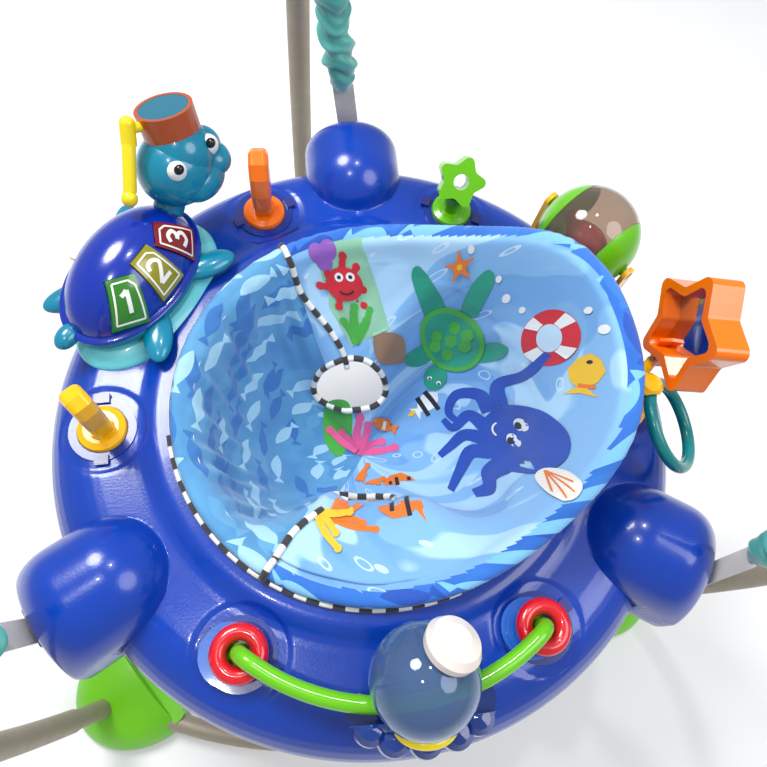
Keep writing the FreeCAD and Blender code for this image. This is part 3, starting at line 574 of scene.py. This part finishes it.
def fish_layer(n, where, shift, turn, density):
    """Rows of small fish; gives (mask, a random value for each fish)."""
    move = n.add("ShaderNodeMapping")
    n.link(where, move.inputs[0])
    move.inputs["Location"].default_value = (shift[0], shift[1], 0)
    move.inputs["Rotation"].default_value = (0, 0, turn)
    split = n.add("ShaderNodeSeparateXYZ")
    n.link(move.outputs[0], split.inputs[0])
    cell_w, cell_h = 0.056, 0.029
    row = n.math("FLOOR", n.math("DIVIDE", split.outputs[1], cell_h))
    slide = n.math("MULTIPLY", n.math("MODULO", row, 2.0), 0.5)
    col_raw = n.math("ADD", n.math("DIVIDE", split.outputs[0], cell_w), slide)
    col = n.math("FLOOR", col_raw)
    cell = n.add("ShaderNodeCombineXYZ")
    n.link(col, cell.inputs[0])
    n.link(row, cell.inputs[1])
    rand = n.add("ShaderNodeTexWhiteNoise")
    n.link(cell.outputs[0], rand.inputs[0])
    parts = n.add("ShaderNodeSeparateColor")
    n.link(rand.outputs[1], parts.inputs[0])
    x = n.math("SUBTRACT", n.math("FRACT", col_raw), 0.5)
    x = n.math("MULTIPLY", x, cell_w)
    y = n.math("SUBTRACT", n.math("FRACT", n.math("DIVIDE", split.outputs[1], cell_h)), 0.5)
    y = n.math("MULTIPLY", y, cell_h)
    y = n.math("ADD", y, n.math("MULTIPLY", n.math("SUBTRACT", parts.outputs[0], 0.5), 0.006))
    lean = n.math("MULTIPLY", n.math("SUBTRACT", parts.outputs[1], 0.5), 0.7)
    y = n.math("ADD", y, n.math("MULTIPLY", x, lean))
    flip = n.math("SUBTRACT", n.math("MULTIPLY", n.math("GREATER_THAN", parts.outputs[2], 0.5), 2.0), 1.0)
    x = n.math("MULTIPLY", x, flip)
    ax = n.math("DIVIDE", x, 0.0195)
    body = n.math("MULTIPLY", n.math("SUBTRACT", 1.0, n.math("MULTIPLY", ax, ax)), 0.0086)
    in_body = n.math("LESS_THAN", n.math("ABSOLUTE", y), body)
    tail_x = n.math("SUBTRACT", n.math("MULTIPLY", x, -1.0), 0.0168)
    tail_h = n.math("MULTIPLY", tail_x, 0.95)
    in_tail = n.math("MULTIPLY", n.math("LESS_THAN", n.math("ABSOLUTE", y), tail_h),
                     n.math("LESS_THAN", tail_x, 0.0088))
    mask = n.math("MAXIMUM", in_body, in_tail)
    keep = n.math("LESS_THAN", rand.outputs[0], density)
    return n.math("MULTIPLY", mask, keep), parts.outputs[1]


def fish_cloth(name, ground, deep, pale, royal):
    n = Nodes(name)
    where = n.coords("UV")
    wash = n.span(n.noise(where, 16.0, 3.0), 0.35, 0.65)
    colour = n.mix(wash, deep, ground)
    one, pick_one = fish_layer(n, where, (0.0, 0.0), 0.15, 0.86)
    two, pick_two = fish_layer(n, where, (0.017, 0.0105), -0.2, 0.5)
    colour = n.mix(two, colour, n.mix(n.math("GREATER_THAN", pick_two, 0.45), royal, ground))
    colour = n.mix(one, colour, n.mix(n.math("GREATER_THAN", pick_one, 0.34), royal, pale))
    n.give("Base Color", colour)
    n.give("Roughness", 0.8)
    n.give("Sheen Weight", 0.25)
    soft = n.noise(where, 46.0, 4.0)
    n.bump(n.math("ADD", n.math("MULTIPLY", soft, 1.0), weave(n, where, 0.0014, 0.08)), 0.45, 0.004)
    return n.mat


def sea_cloth():
    """Pale water print with soft currents and bubbles."""
    n = Nodes("seat_sea_print")
    where = n.coords("UV")
    bend = n.noise(where, 7.0, 2.0)
    split = n.add("ShaderNodeSeparateXYZ")
    n.link(where, split.inputs[0])
    wave = n.math("SINE", n.math("ADD", n.math("MULTIPLY", split.outputs[1], 34.0),
                                 n.math("MULTIPLY", bend, 17.0)))
    colour = n.mix(n.span(wave, -0.1, 0.25), rgb(168, 208, 238), rgb(126, 178, 226))
    deep = n.math("SINE", n.math("ADD", n.math("MULTIPLY", split.outputs[0], 22.0),
                                 n.math("MULTIPLY", bend, 13.0)))
    colour = n.mix(n.span(deep, 0.55, 0.7, 0.0, 0.8), colour, rgb(98, 156, 214))
    cells = n.add("ShaderNodeTexVoronoi")
    n.link(where, cells.inputs["Vector"])
    cells.inputs["Scale"].default_value = 26.0
    ring = n.math("MULTIPLY", n.math("LESS_THAN", cells.outputs[0], 0.2),
                  n.math("GREATER_THAN", cells.outputs[0], 0.15))
    colour = n.mix(n.math("MULTIPLY", ring, 0.6), colour, rgb(214, 234, 248))
    n.give("Base Color", colour)
    n.give("Roughness", 0.82)
    n.give("Sheen Weight", 0.25)
    soft = n.noise(where, 30.0, 4.0)
    n.bump(n.math("ADD", soft, weave(n, where, 0.0014, 0.08)), 0.4, 0.004)
    return n.mat


FISH = fish_cloth("seat_fish_print", rgb(92, 158, 204), rgb(72, 138, 192), rgb(160, 206, 230),
                  rgb(52, 116, 186))
BAND = fish_cloth("seat_band_print", rgb(44, 116, 206), rgb(30, 96, 190), rgb(120, 186, 232),
                  rgb(24, 78, 176))
SEA = sea_cloth()


def print_of(phi, s, top_s):
    """Which cloth a face has: 0 fish between the seams, 1 the band over the edge, 2 the sea."""
    if SEAMS[0] < phi < SEAMS[1]:
        return 0
    return 1 if s < top_s + 12 else 2


def leg_frame(way):
    """Middle of a leg hole, the way a leg goes through it, and its two cross directions."""
    axis = Vector((0, way * 0.62, -0.78)).normalized()
    across = Vector((1, 0, 0))
    centre = Vector((-14, 72, -78)) if way > 0 else Vector((-14, -80, -98))
    return centre, axis, across, across.cross(axis) * way


def hole_scale(a, b):
    """How many times further out the leg hole's edge lies than the point (a, b)."""
    k = 1.0
    for _ in range(6):
        wide = 44 - 10 * min(max(b * k / 36, -1), 1)
        k /= max((abs(a * k) / wide) ** 2.4 + (abs(b * k) / 36) ** 2.3, 1e-6) ** 0.43
    return k


def leg_ring(way, count=96):
    centre, axis, across, up = leg_frame(way)
    ring = []
    for k in range(count):
        a, b = math.cos(2 * math.pi * k / count) * 40, math.sin(2 * math.pi * k / count) * 34
        grow = hole_scale(a, b)
        ring.append(centre + across * a * grow + up * b * grow)
    return ring, axis


def make_seat():
    spots = {(i, k): Vector(GRID[i, k]) for i in range(SEAT_U) for k in range(SEAT_V)}
    inside = set()
    for way in (-1, 1):
        centre, axis, across, up = leg_frame(way)
        found = {}
        for key, p in spots.items():
            q = p - centre
            a, b = q.dot(across), q.dot(up)
            if key[1] > 45 and abs(q.dot(axis)) < 75 and abs(a) < 50 and abs(b) < 40:
                grow = hole_scale(a, b)
                if grow > 1:
                    found[key] = (a, b, grow)
        for (i, k), (a, b, grow) in found.items():
            around = [((i + 1) % SEAT_U, k), ((i - 1) % SEAT_U, k), (i, k + 1), (i, k - 1)]
            if any(n in spots and n not in found for n in around):
                spots[i, k] = spots[i, k] + (across * a + up * b) * (grow - 1)
        inside.update(found)
    faces, place, order = [], [], {}
    for i in range(SEAT_U):
        for k in range(SEAT_V - 1):
            corners = [(i, k), ((i + 1) % SEAT_U, k), ((i + 1) % SEAT_U, k + 1), (i, k + 1)]
            if all(c in inside for c in corners):
                continue
            faces.append([order.setdefault(c, len(order)) for c in corners])
            place.append((i, k))
    back = list(order)
    seat = build("seat_cover", [at(*spots[c]) for c in back], faces, [FISH, BAND, SEA], [(0, 0)] * len(back))
    layer = seat.data.uv_layers[0].data
    for poly, (col, row) in zip(seat.data.polygons, place):
        phi = 360.0 * (col + 0.5) / SEAT_U
        rise = back_top(phi) - 60
        poly.material_index = print_of(phi, RUN[col, row], 12 + rise * 1.03)
        middle = 176.0 if poly.material_index == 0 else BACK
        for loop in poly.loop_indices:
            i, k = back[seat.data.loops[loop].vertex_index]
            off = math.radians((360.0 * i / SEAT_U - middle + 180) % 360 - 180)
            r = math.hypot(GRID[i, k, 0], GRID[i, k, 1])
            layer[loop].uv = (off * (0.5 * r + 80) / 1000, RUN[i, k] / 1000)
    wall = seat.modifiers.new("wall", "SOLIDIFY")
    wall.thickness = 0.0045
    wall.offset = -1
    apply_modifiers(seat)
    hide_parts("seat_fabric")
    rode(seat, "seat")


make_seat()


# ---- printed sea scene ----------------------------------------------------------------
PRINT_WAY = Vector((0.173, 0.336, -0.925)).normalized()
TREE = BVHTree.FromPolygons([Vector(GRID[i, k]) for i in range(SEAT_U) for k in range(SEAT_V)],
                            grid_faces(SEAT_U, SEAT_V, True))


def drop(x, y, lift):
    """Where a point of the flat drawing lands on the cover's inside."""
    spot, normal, _, _ = TREE.ray_cast(Vector((x, y, 0)) - PRINT_WAY * 420, PRINT_WAY)
    if spot is None:
        return None
    if normal.dot(PRINT_WAY) > 0:
        normal = -normal
    return spot + normal * lift


def oval(cx, cy, rx, ry, turn=0.0, count=32):
    c, s = math.cos(math.radians(turn)), math.sin(math.radians(turn))
    out = []
    for k in range(count):
        a = 2 * math.pi * k / count
        x, y = rx * math.cos(a), ry * math.sin(a)
        out.append((cx + x * c - y * s, cy + x * s + y * c))
    return out


def blob(points):
    """Smooth closed outline through the given points."""
    pts = np.array(points, float)
    count = len(pts)
    return [tuple(spline(*(pts[(i + j - 1) % count] for j in range(4)), t))
            for i in range(count) for t in np.linspace(0, 1, 8, endpoint=False)]


def line_sides(points, count):
    """A smooth flat line and the direction to its left at each point."""
    line, _ = smooth_line(points, count)
    way = np.gradient(line, axis=0)
    way = way / np.maximum(np.linalg.norm(way, axis=1), 1e-6)[:, None]
    return line, np.stack([-way[:, 1], way[:, 0]], 1)


def ribbon(points, first, last):
    """Band along a line, its half-width going from the first value to the last."""
    line, side = line_sides(points, 26)
    half = np.linspace(first, last, len(line))[:, None]
    return [tuple(p) for p in line + side * half] + [tuple(p) for p in (line - side * half)[::-1]]


def arc(cx, cy, rx, ry, start, end, half):
    pts = [(cx + rx * math.cos(math.radians(a)), cy + ry * math.sin(math.radians(a)))
           for a in np.linspace(start, end, 7)]
    return ribbon(pts, half, half)


def star_outline(cx, cy, far, near, tips, turn):
    out = []
    for k in range(2 * tips):
        a = math.radians(turn + 180 * k / tips)
        r = near if k % 2 else far
        out.append((cx + r * math.cos(a), cy + r * math.sin(a)))
    return out


def fish_shape(cx, cy, size, turn):
    body = [(0.5, 0), (0.36, 0.17), (0.1, 0.27), (-0.16, 0.2), (-0.3, 0.07), (-0.5, 0.24), (-0.44, 0),
            (-0.5, -0.24), (-0.3, -0.07), (-0.16, -0.2), (0.1, -0.27), (0.36, -0.17)]
    c, s = math.cos(math.radians(turn)) * size, math.sin(math.radians(turn)) * size
    return [(cx + x * c - y * s, cy + x * s + y * c) for x, y in body]


def branches(cx, cy, reach, count, start, spread, half):
    """Coral: arms fanning out of one root."""
    out = []
    for k in range(count):
        a = math.radians(start + spread * (k / max(count - 1, 1) - 0.5))
        r = reach * (0.82 + 0.18 * math.cos(2.3 * k))
        bend = math.radians(18 * (-1) ** k)
        out.append(ribbon([(cx, cy), (cx + 0.5 * r * math.cos(a), cy + 0.5 * r * math.sin(a)),
                           (cx + r * math.cos(a + bend * 0.4), cy + r * math.sin(a + bend * 0.4))],
                          half, half * 0.75))
        out.append(oval(cx + r * math.cos(a + bend * 0.4), cy + r * math.sin(a + bend * 0.4), half, half))
    return out


def ink(name, r, g, b):
    return cloth("print_" + name, rgb(r, g, b), rgb(r * 0.86, g * 0.88, b * 0.9), 0.0014, 0.8, 0.2)


INKS = {name: ink(name, *colour) for name, colour in {
    "mint": (150, 206, 170), "purple": (150, 92, 186), "red": (214, 30, 48), "brown": (150, 116, 92),
    "green": (26, 158, 128), "weed": (72, 176, 64), "white": (240, 242, 240), "black": (20, 24, 40),
    "navy": (24, 74, 178), "orange": (242, 122, 30), "yellow": (248, 196, 40), "pink": (238, 92, 150),
    "pale": (196, 224, 244), "cream": (244, 236, 226)}.items()}


def printed(name, parts):
    """One drawn motif: a list of (outline, ink), later ones on top."""
    verts, faces, looks, index = [], [], [], []
    for layer, (outline, colour) in enumerate(parts):
        flat = [Vector(q) for q in outline]
        count = len(flat)
        xs, ys = [q.x for q in flat], [q.y for q in flat]
        inner = [Vector((x, y)) for x in np.arange(min(xs) + 2, max(xs), 4.0)
                 for y in np.arange(min(ys) + 2, max(ys), 4.0)]
        made = delaunay_2d_cdt(flat + inner, [], [list(range(count))], 1, 1e-4)
        lift = 0.5 + 0.13 * layer
        spots = [drop(q.x, q.y, lift) for q in made[0]]
        step = {}
        for k, spot in enumerate(spots):
            if spot is not None:
                step[k] = len(verts)
                verts.append(at(*spot))
        if colour not in looks:
            looks.append(colour)
        for face in made[2]:
            if all(k in step for k in face):
                edge = max((spots[face[j]] - spots[face[j - 1]]).length for j in range(len(face)))
                if edge < 34:
                    faces.append(tuple(step[k] for k in face))
                    index.append(looks.index(colour))
    uvs = [(v.x, v.y + v.z * 0.4) for v in verts]
    obj = build("print_" + name, verts, faces, [INKS[c] for c in looks], uvs)
    for poly, look in zip(obj.data.polygons, index):
        poly.material_index = look
    return rode(obj, "seat")


panel = [(-42, 204), (-12, 212), (12, 214), (22, 160), (30, 112), (-20, 92), (-38, 140)]
printed("reef_wall", [(panel, "mint")]
        + [(oval(x, y, 9, 11), "purple") for x, y in ((-40, 198), (-27, 202), (-34, 190))]
        + [(s, "weed") for s in branches(-14, 96, 46, 5, 78, 50, 4.5)]
        + [(blob([(10, 104), (30, 108), (45, 100), (44, 80), (38, 71), (14, 70), (8, 84)]), "brown")])
printed("crab", [(s, "red") for s in branches(-16, 166, 31, 7, 90, 300, 4.5)]
        + [(oval(-16, 166, 21, 19), "red"), (oval(-21, 174, 5, 5), "white"), (oval(-8, 174, 5, 5), "white"),
           (oval(-21, 174, 2.2, 2.2), "black"), (oval(-8, 174, 2.2, 2.2), "black"),
           (arc(-15, 161, 8, 6, 200, 340, 1.0), "black")])
plates = [(oval(104, 94, 34, 43, 40), "weed"), (oval(104, 94, 28, 37, 40), "green")]
for dx, dy in ((0, 0), (13, 17), (-13, -17), (15, -9), (-15, 9), (24, 4), (-24, -4)):
    plates.append((oval(104 + dx * 0.9 - dy * 0.35, 94 + dy * 0.9, 8, 8.5, 30, 6), "weed"))
printed("sea_turtle", [
    (blob([(118, 128), (132, 152), (148, 162), (154, 150), (142, 128), (132, 116)]), "green"),
    (blob([(80, 118), (70, 140), (64, 172), (74, 180), (90, 156), (100, 130)]), "green"),
    (blob([(130, 82), (150, 84), (164, 74), (158, 64), (140, 62), (124, 66)]), "green"),
    (blob([(78, 76), (62, 66), (44, 68), (46, 80), (62, 90), (76, 96)]), "green"),
    (oval(80, 50, 15, 18, -25), "green"), (oval(73, 50, 3, 3), "white"), (oval(84, 42, 3, 3), "white"),
    (oval(73, 49, 1.6, 1.6), "black"), (oval(84, 41, 1.6, 1.6), "black")] + plates
    + [(blob(star_outline(120, 172, 17, 7, 5, 20)), "orange"), (oval(120, 172, 3, 3), "yellow")])
printed("reef_fish", [
    (fish_shape(64, 15, 44, 40), "white"), (ribbon([(53, 24), (60, 10), (66, -2)], 3.5, 3), "black"),
    (ribbon([(64, 32), (72, 20), (80, 6)], 3.5, 3), "black"), (oval(44, 2, 6, 3, 40), "yellow")])
ring_parts = [(oval(198, 76, 23, 30), "red"), (oval(198, 76, 10, 15), "pale")]
for k in range(4):
    ring_parts.append((arc(198, 76, 16.5, 22.5, 25 + 90 * k, 55 + 90 * k, 6.3), "white"))
printed("float_ring", ring_parts)
printed("yellow_fish", [
    (fish_shape(218, 32, 44, 72), "yellow"), (ribbon([(212, 22), (222, 18)], 2, 2), "orange"),
    (oval(223, 44, 2, 2), "black")])
arms = (((140, 0), (130, 22), (104, 24), (92, 2), (104, -14)), ((150, 4), (152, 32), (176, 40), (196, 60)),
        ((134, -20), (116, -4), (96, -20), (84, -8)), ((130, -34), (108, -30), (90, -44), (74, -57)),
        ((132, -50), (112, -52), (100, -70), (82, -100)), ((142, -64), (128, -76), (124, -92), (108, -100)))
printed("octopus_print", [(ribbon(a, 9, 4), "navy") for a in arms] + [
    (blob([(131, -12), (154, 6), (182, -1), (196, -24), (190, -48), (172, -64), (146, -70), (131, -54),
           (127, -31)]), "navy"),
    (oval(158, -36, 5.5, 8, 10), "white"), (oval(167, -18, 5.5, 8, 10), "white"),
    (oval(156, -37, 3, 4.5), "black"), (oval(165, -19, 3, 4.5), "black"),
    (arc(149, -24, 8, 9, 110, 230, 1.0), "white"),
    (blob([(172, -62), (186, -62), (192, -74), (182, -86), (168, -84), (163, -72)]), "cream")]
    + [(ribbon([(172, -64), (172 + dx, -64 - dy)], 0.8, 0.8), "orange")
       for dx, dy in ((14, 6), (13, 14), (6, 20), (-2, 17))])
printed("sea_floor", [(blob([(-68, 20), (-38, 24), (-34, -2), (-46, -40), (-62, -52), (-76, -24)]), "weed")]
        + [(s, "pink") for s in branches(-34, -46, 50, 6, 70, 150, 5.5)]
        + [(fish_shape(6, -12, 36, 150), "orange"), (ribbon([(2, -18), (6, -6)], 2.2, 2.2), "white"),
           (oval(14, -12, 2, 2), "black")])
printed("clown_fish", [
    (fish_shape(24, -94, 56, 172), "orange"), (ribbon([(14, -84), (16, -102)], 2.4, 2.4), "black"),
    (ribbon([(30, -84), (34, -106)], 2.4, 2.4), "black"), (oval(6, -91, 2.2, 2.2), "black")])
printed("weeds", [(s, "orange") for s in branches(-44, -102, 46, 6, 20, 90, 3.2)]
        + [(s, "yellow") for s in branches(-58, -96, 40, 3, -40, 50, 3.6)])
bubbles = ((164, 128, 4), (178, 112, 3), (132, 186, 3.5), (236, 74, 4), (158, 150, 3), (228, 96, 3))
printed("bubbles", [(oval(x, y, r, r * 1.2), "white") for x, y, r in bubbles])


# ---- striped piping ----------------------------------------------------------------
def piping_material():
    n = Nodes("piping_stripe")
    where = n.coords("UV")
    split = n.add("ShaderNodeSeparateXYZ")
    n.link(where, split.inputs[0])
    block = n.math("LESS_THAN", n.math("FRACT", n.math("DIVIDE", split.outputs[1], 0.024)), 0.5)
    fade = n.span(n.noise(where, 60.0, 3.0), 0.3, 0.7, 0.85, 1.0)
    colour = n.mix(block, rgb(236, 233, 224), rgb(26, 26, 30))
    n.give("Base Color", n.mix(fade, rgb(140, 140, 140), colour))
    n.give("Roughness", 0.75)
    n.give("Sheen Weight", 0.3)
    n.bump(n.noise(where, 500.0, 2.0), 0.3, 0.001)
    return n.mat


PIPING = piping_material()


def piping(name, points, radius=3.6, closed=False):
    obj = sweep(name, [at(*p) for p in points], radius / 1000, PIPING, 10, closed)
    return rode(obj, "seat")


for number, phi in enumerate(SEAMS):
    drift = -14 if number == 0 else 14
    path = []
    for s in np.linspace(6, 190 if number == 0 else 112, 60):
        bend = drift * soft_step(np.array(s), 60.0, 190.0)
        path.append(seat_at(phi + float(bend), s, 1.5))
    piping(f"seam_piping_{number + 1}", path)

piping("edge_piping", [seat_at(phi, 4, 2.2) for phi in np.linspace(188, 292, 110)], 3.0)

for way, name in ((-1, "right"), (1, "left")):
    ring, axis = leg_ring(way)
    edge = []
    for p in ring:
        spot, _, _, _ = TREE.ray_cast(p - axis * 70, axis)
        edge.append(spot if spot is not None else p)
    piping(f"leg_piping_{name}", edge, 4.0, True)


# ---- figures on the keys -------------------------------------------------------------
KEY_SIDES = {"one": 38.0, "two": 0.0, "three": -38.0}
PUSH = Vector((0.62, 0, -0.78))             # the way a key goes in
SHELL_MIDDLE, SHELL_RADII = Vector((12, 0, 26)), Vector((54, 86, 60))


def key_point(side, across, up, grow):
    """A point of a key's face, drawn flat on it, carried on to the shell's curve."""
    p = Vector((-up, across, 0))
    p = Matrix.Rotation(math.radians(-180 - side * 0.9), 3, "Z") @ p
    p = Matrix.Rotation(-math.atan2(PUSH.x, -PUSH.z), 3, "Y") @ p
    p = p + Vector((abs(side) * 0.12 - 36, side * 1.12, 36))
    a = Vector([p[k] / (SHELL_RADII[k] + grow) for k in range(3)])
    b = Vector([PUSH[k] / (SHELL_RADII[k] + grow) for k in range(3)])
    root = max(a.dot(b) ** 2 - b.dot(b) * (a.dot(a) - 1), 0)
    p = p + PUSH * ((-a.dot(b) - math.sqrt(root)) / b.dot(b))
    return local(TURTLE, *(p + SHELL_MIDDLE))


def stroke(side, points, half, verts, faces):
    line, left = line_sides(points, 24)
    first = len(verts)
    for (x, y), (lx, ly) in zip(line, left):
        for k in (-1, 0, 1):
            verts.append(key_point(side, x + lx * half * k, y + ly * half * k, 3.6))
    for k in range(len(line) - 1):
        for j in range(2):
            base = first + 3 * k + j
            faces.append((base, base + 1, base + 4, base + 3))


STROKES = {"one": [[(-5, 6), (-1, 9), (1, 11)], [(1, 11), (1, 0), (1, -11)]],
           "two": [[(-7, 6), (-4, 11), (3, 11), (7, 6), (3, 0), (-7, -10)], [(-7, -10), (0, -10), (8, -10)]],
           "three": [[(-6, 8), (0, 11), (6, 7), (4, 2), (-1, 0.5)],
                     [(-1, 0.5), (5, -1), (7, -6), (1, -11), (-7, -8)]]}
for name, side in KEY_SIDES.items():
    verts, faces = [], []
    for points in STROKES[name]:
        stroke(side, points, 2.1, verts, faces)
    for start, end in (((-9.5, 19.5), (5, 19.5)), ((5, 19.5), (10.3, 14)), ((10.3, 14), (14, -19.5)),
                       ((14, -19.5), (-14, -19.5)), ((-14, -19.5), (-9.5, 19.5))):
        mid = ((start[0] + end[0]) / 2, (start[1] + end[1]) / 2)
        stroke(side, [start, mid, end], 0.9, verts, faces)
    uvs = [(v.x, v.y) for v in verts]
    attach(build("figure_" + name, verts, faces, PURE_WHITE, uvs), "key_" + name)


# ---- the turtle's face ----------------------------------------------------------------
def ball_form(name, centre, radii, look, tilt=(0, 0, 0), count=36):
    spin = Matrix.Rotation(math.radians(tilt[2]), 3, "Z") @ Matrix.Rotation(math.radians(tilt[1]), 3, "Y")
    verts, uvs = [], []
    for i in range(count):
        for k in range(count // 2 + 1):
            a, b = 2 * math.pi * i / count, math.pi * k / (count // 2)
            p = Vector((math.sin(b) * math.cos(a), math.sin(b) * math.sin(a), math.cos(b)))
            q = spin @ Vector([p[j] * radii[j] for j in range(3)]) + Vector(centre)
            verts.append(local(TURTLE, *q))
            uvs.append((i / count * 0.2, k / count * 0.2))
    obj = build(name, verts, grid_faces(count, count // 2 + 1, True), look, uvs)
    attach(obj, "tray")
    return obj


ball_form("face_main", (15, -106, 87), (39, 43, 38), TEAL)
ball_form("face_muzzle", (-9, -112, 78), (22, 30, 20), TEAL)
for number, (x, y) in enumerate(((9, -92), (1, -136))):
    ball_form(f"brow_{number}", (x, y, 97), (19, 19, 21), TEAL)
    ball_form(f"eye_{number}", (x - 10, y + 4.5, 107), (11, 11, 13.5), PURE_WHITE, (0, -38, 0))
    ball_form(f"pupil_{number}", (x - 16, y + 6.5, 114.5), (5, 5.5, 7), BLACK, (0, -38, 0))


# ---- straps and spring covers -------------------------------------------------------
def satin():
    n = Nodes("cover_satin")
    where = n.coords("UV")
    cloud = n.span(n.noise(where, 12.0, 4.0), 0.3, 0.7)
    n.give("Base Color", n.mix(cloud, rgb(46, 138, 134), rgb(92, 186, 176)))
    n.give("Roughness", n.span(n.noise(where, 80.0, 3.0), 0.3, 0.7, 0.34, 0.5))
    n.give("Sheen Weight", 0.5)
    n.give("Anisotropic", 0.4)
    n.bump(weave(n, where, 0.0012, 0.3), 0.2, 0.0004)
    return n.mat


SATIN = satin()


def gathered_cover(k):
    """A satin sleeve bunched round the spring in spiral folds."""
    lo, hi = strap_ends(k)
    start, end = lo.lerp(hi, 0.205), lo.lerp(hi, 0.885)
    along = (end - start).normalized()
    side = along.orthogonal().normalized()
    other = along.cross(side)
    rows, sides = 220, 72
    verts, uvs = [], []
    for i in range(rows):
        share = i / (rows - 1)
        mouth = min(1, share / 0.10)
        tail = min(1, (1 - share) / 0.05)
        full = 8.5 + 8.0 * mouth ** 0.7
        full = full * (0.72 + 0.28 * tail)
        centre = start.lerp(end, share)
        for j in range(sides + 1):
            a = 2 * math.pi * j / sides
            phase = share * 52 + 1.8 * math.sin(a + share * 9 + k) + 0.9 * math.sin(2 * a - share * 17)
            fold = math.sin(phase) + 0.45 * math.sin(phase * 1.9 + 2 * a + k)
            fold += 0.35 * math.sin(3 * a + share * 40)
            r = full + 2.5 * fold * mouth * tail
            r = max(r, 6.5 if mouth < 1 else 11.8) / 1000
            verts.append(centre + (side * math.cos(a) + other * math.sin(a)) * r)
            uvs.append((j / sides * 0.11, share * 0.24))
    return build(f"spring_cover_{k + 1}", verts, grid_faces(rows, sides + 1, False), SATIN, uvs)


def strap_ends(k):
    return polar(375.0, TOWERS[k], 29.0), polar(402.0, POSTS[k], 369.0)


def flat_strap(name, points, across, width, thick, look):
    """Webbing along points, with selvedges."""
    pts = [Vector(p) for p in points]
    verts, uvs = [], []
    length = 0.0
    section = [(-0.5, 0.3), (-0.46, 0.5), (0.46, 0.5), (0.5, 0.3), (0.5, -0.3), (0.46, -0.5),
               (-0.46, -0.5), (-0.5, -0.3), (-0.5, 0.3)]
    for i, p in enumerate(pts):
        t = (pts[min(i + 1, len(pts) - 1)] - pts[max(i - 1, 0)]).normalized()
        side = (across - t * across.dot(t)).normalized()
        out = t.cross(side)
        if i:
            length += (p - pts[i - 1]).length
        for a, b in section:
            verts.append(p + side * a * width + out * b * thick)
            uvs.append((a * width, length))
    count = len(section)
    faces = grid_faces(len(pts), count, False)
    faces.append(tuple(range(count - 1)))
    faces.append(tuple(reversed(range((len(pts) - 1) * count, len(pts) * count - 1))))
    return build(name, verts, faces, look, uvs)


for k in range(3):
    lo, hi = strap_ends(k)
    across = polar(0, TOWERS[k], 0, 1) - polar(0, TOWERS[k], 0, 0)
    end = lo.lerp(hi, 0.215)
    path = [polar(375 - 48 + 44 * t, TOWERS[k], 29.0) for t in (0, 0.3, 0.6, 0.85, 0.96)]
    path += [polar(373.5, TOWERS[k], 29.6), polar(375.0, TOWERS[k], 31.5)]
    path += [lo.lerp(end, 0.06 + 0.94 * t / 14) for t in range(15)]
    strap = flat_strap(f"strap_{k + 1}", path, across, 0.025, 0.0016, WEB)
    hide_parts("strap_webbing")
    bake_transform(strap)
    cover = gathered_cover(k)
    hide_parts("spring_covers")
    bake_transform(cover)


# ---- floor, light, camera -----------------------------------------------------------
def floor_material():
    n = Nodes("studio_floor")
    where = n.coords()
    cloud = n.span(n.noise(where, 3.0, 3.0), 0.3, 0.7)
    n.give("Base Color", n.mix(cloud, (0.86, 0.86, 0.86, 1), (0.9, 0.9, 0.9, 1)))
    n.give("Roughness", 0.9)
    return n.mat


floor = build("floor", [(-6, -6, -0.0005), (6, -6, -0.0005), (6, 6, -0.0005), (-6, 6, -0.0005)],
              [(0, 1, 2, 3)], floor_material(), smooth=False)

world = bpy.data.worlds.new("studio")
bpy.context.scene.world = world
world.use_nodes = True
world.node_tree.nodes["Background"].inputs[0].default_value = (0.95, 0.97, 1.0, 1)
world.node_tree.nodes["Background"].inputs[1].default_value = 0.5


def lamp(name, place, target, size, power, colour=(1, 1, 1)):
    data = bpy.data.lights.new(name, "AREA")
    data.shape = "DISK"
    data.size = size
    data.energy = power
    data.color = colour
    obj = bpy.data.objects.new(name, data)
    bpy.context.scene.collection.objects.link(obj)
    obj.location = place
    obj.rotation_euler = (Vector(target) - Vector(place)).to_track_quat("-Z", "Y").to_euler()


lamp("key", (-0.9, 0.9, 2.4), (0, 0, 0.4), 0.9, 46)
lamp("fill", (1.4, -0.6, 2.2), (0, 0, 0.4), 1.4, 22)
lamp("spot_a", (0.2, 0.5, 2.6), (0, 0, 0.4), 0.12, 7)
lamp("spot_b", (-0.5, -0.4, 2.6), (0, 0, 0.4), 0.12, 7)

AZIMUTH, HEIGHT, ROLL = (math.radians(a) for a in (-16.534, 66.293, 12.688))
back = Vector((math.sin(AZIMUTH) * math.cos(HEIGHT), -math.cos(AZIMUTH) * math.cos(HEIGHT),
               math.sin(HEIGHT)))
ahead = -back
right = ahead.cross(Vector((0, 0, 1))).normalized()
above = right.cross(ahead)
cam_x = right * math.cos(ROLL) + above * math.sin(ROLL)
cam_y = above * math.cos(ROLL) - right * math.sin(ROLL)
camera = bpy.data.objects.new("camera", bpy.data.cameras.new("camera"))
bpy.context.scene.collection.objects.link(camera)
camera.data.lens = 30.85
camera.data.sensor_width = 36
camera.data.clip_start = 0.01
turn = Matrix((cam_x, cam_y, back)).transposed().to_4x4()
camera.matrix_world = Matrix.Translation(at(-67, -246, 678)) @ turn
bpy.context.scene.camera = camera
bpy.context.scene.view_settings.view_transform = "Standard"
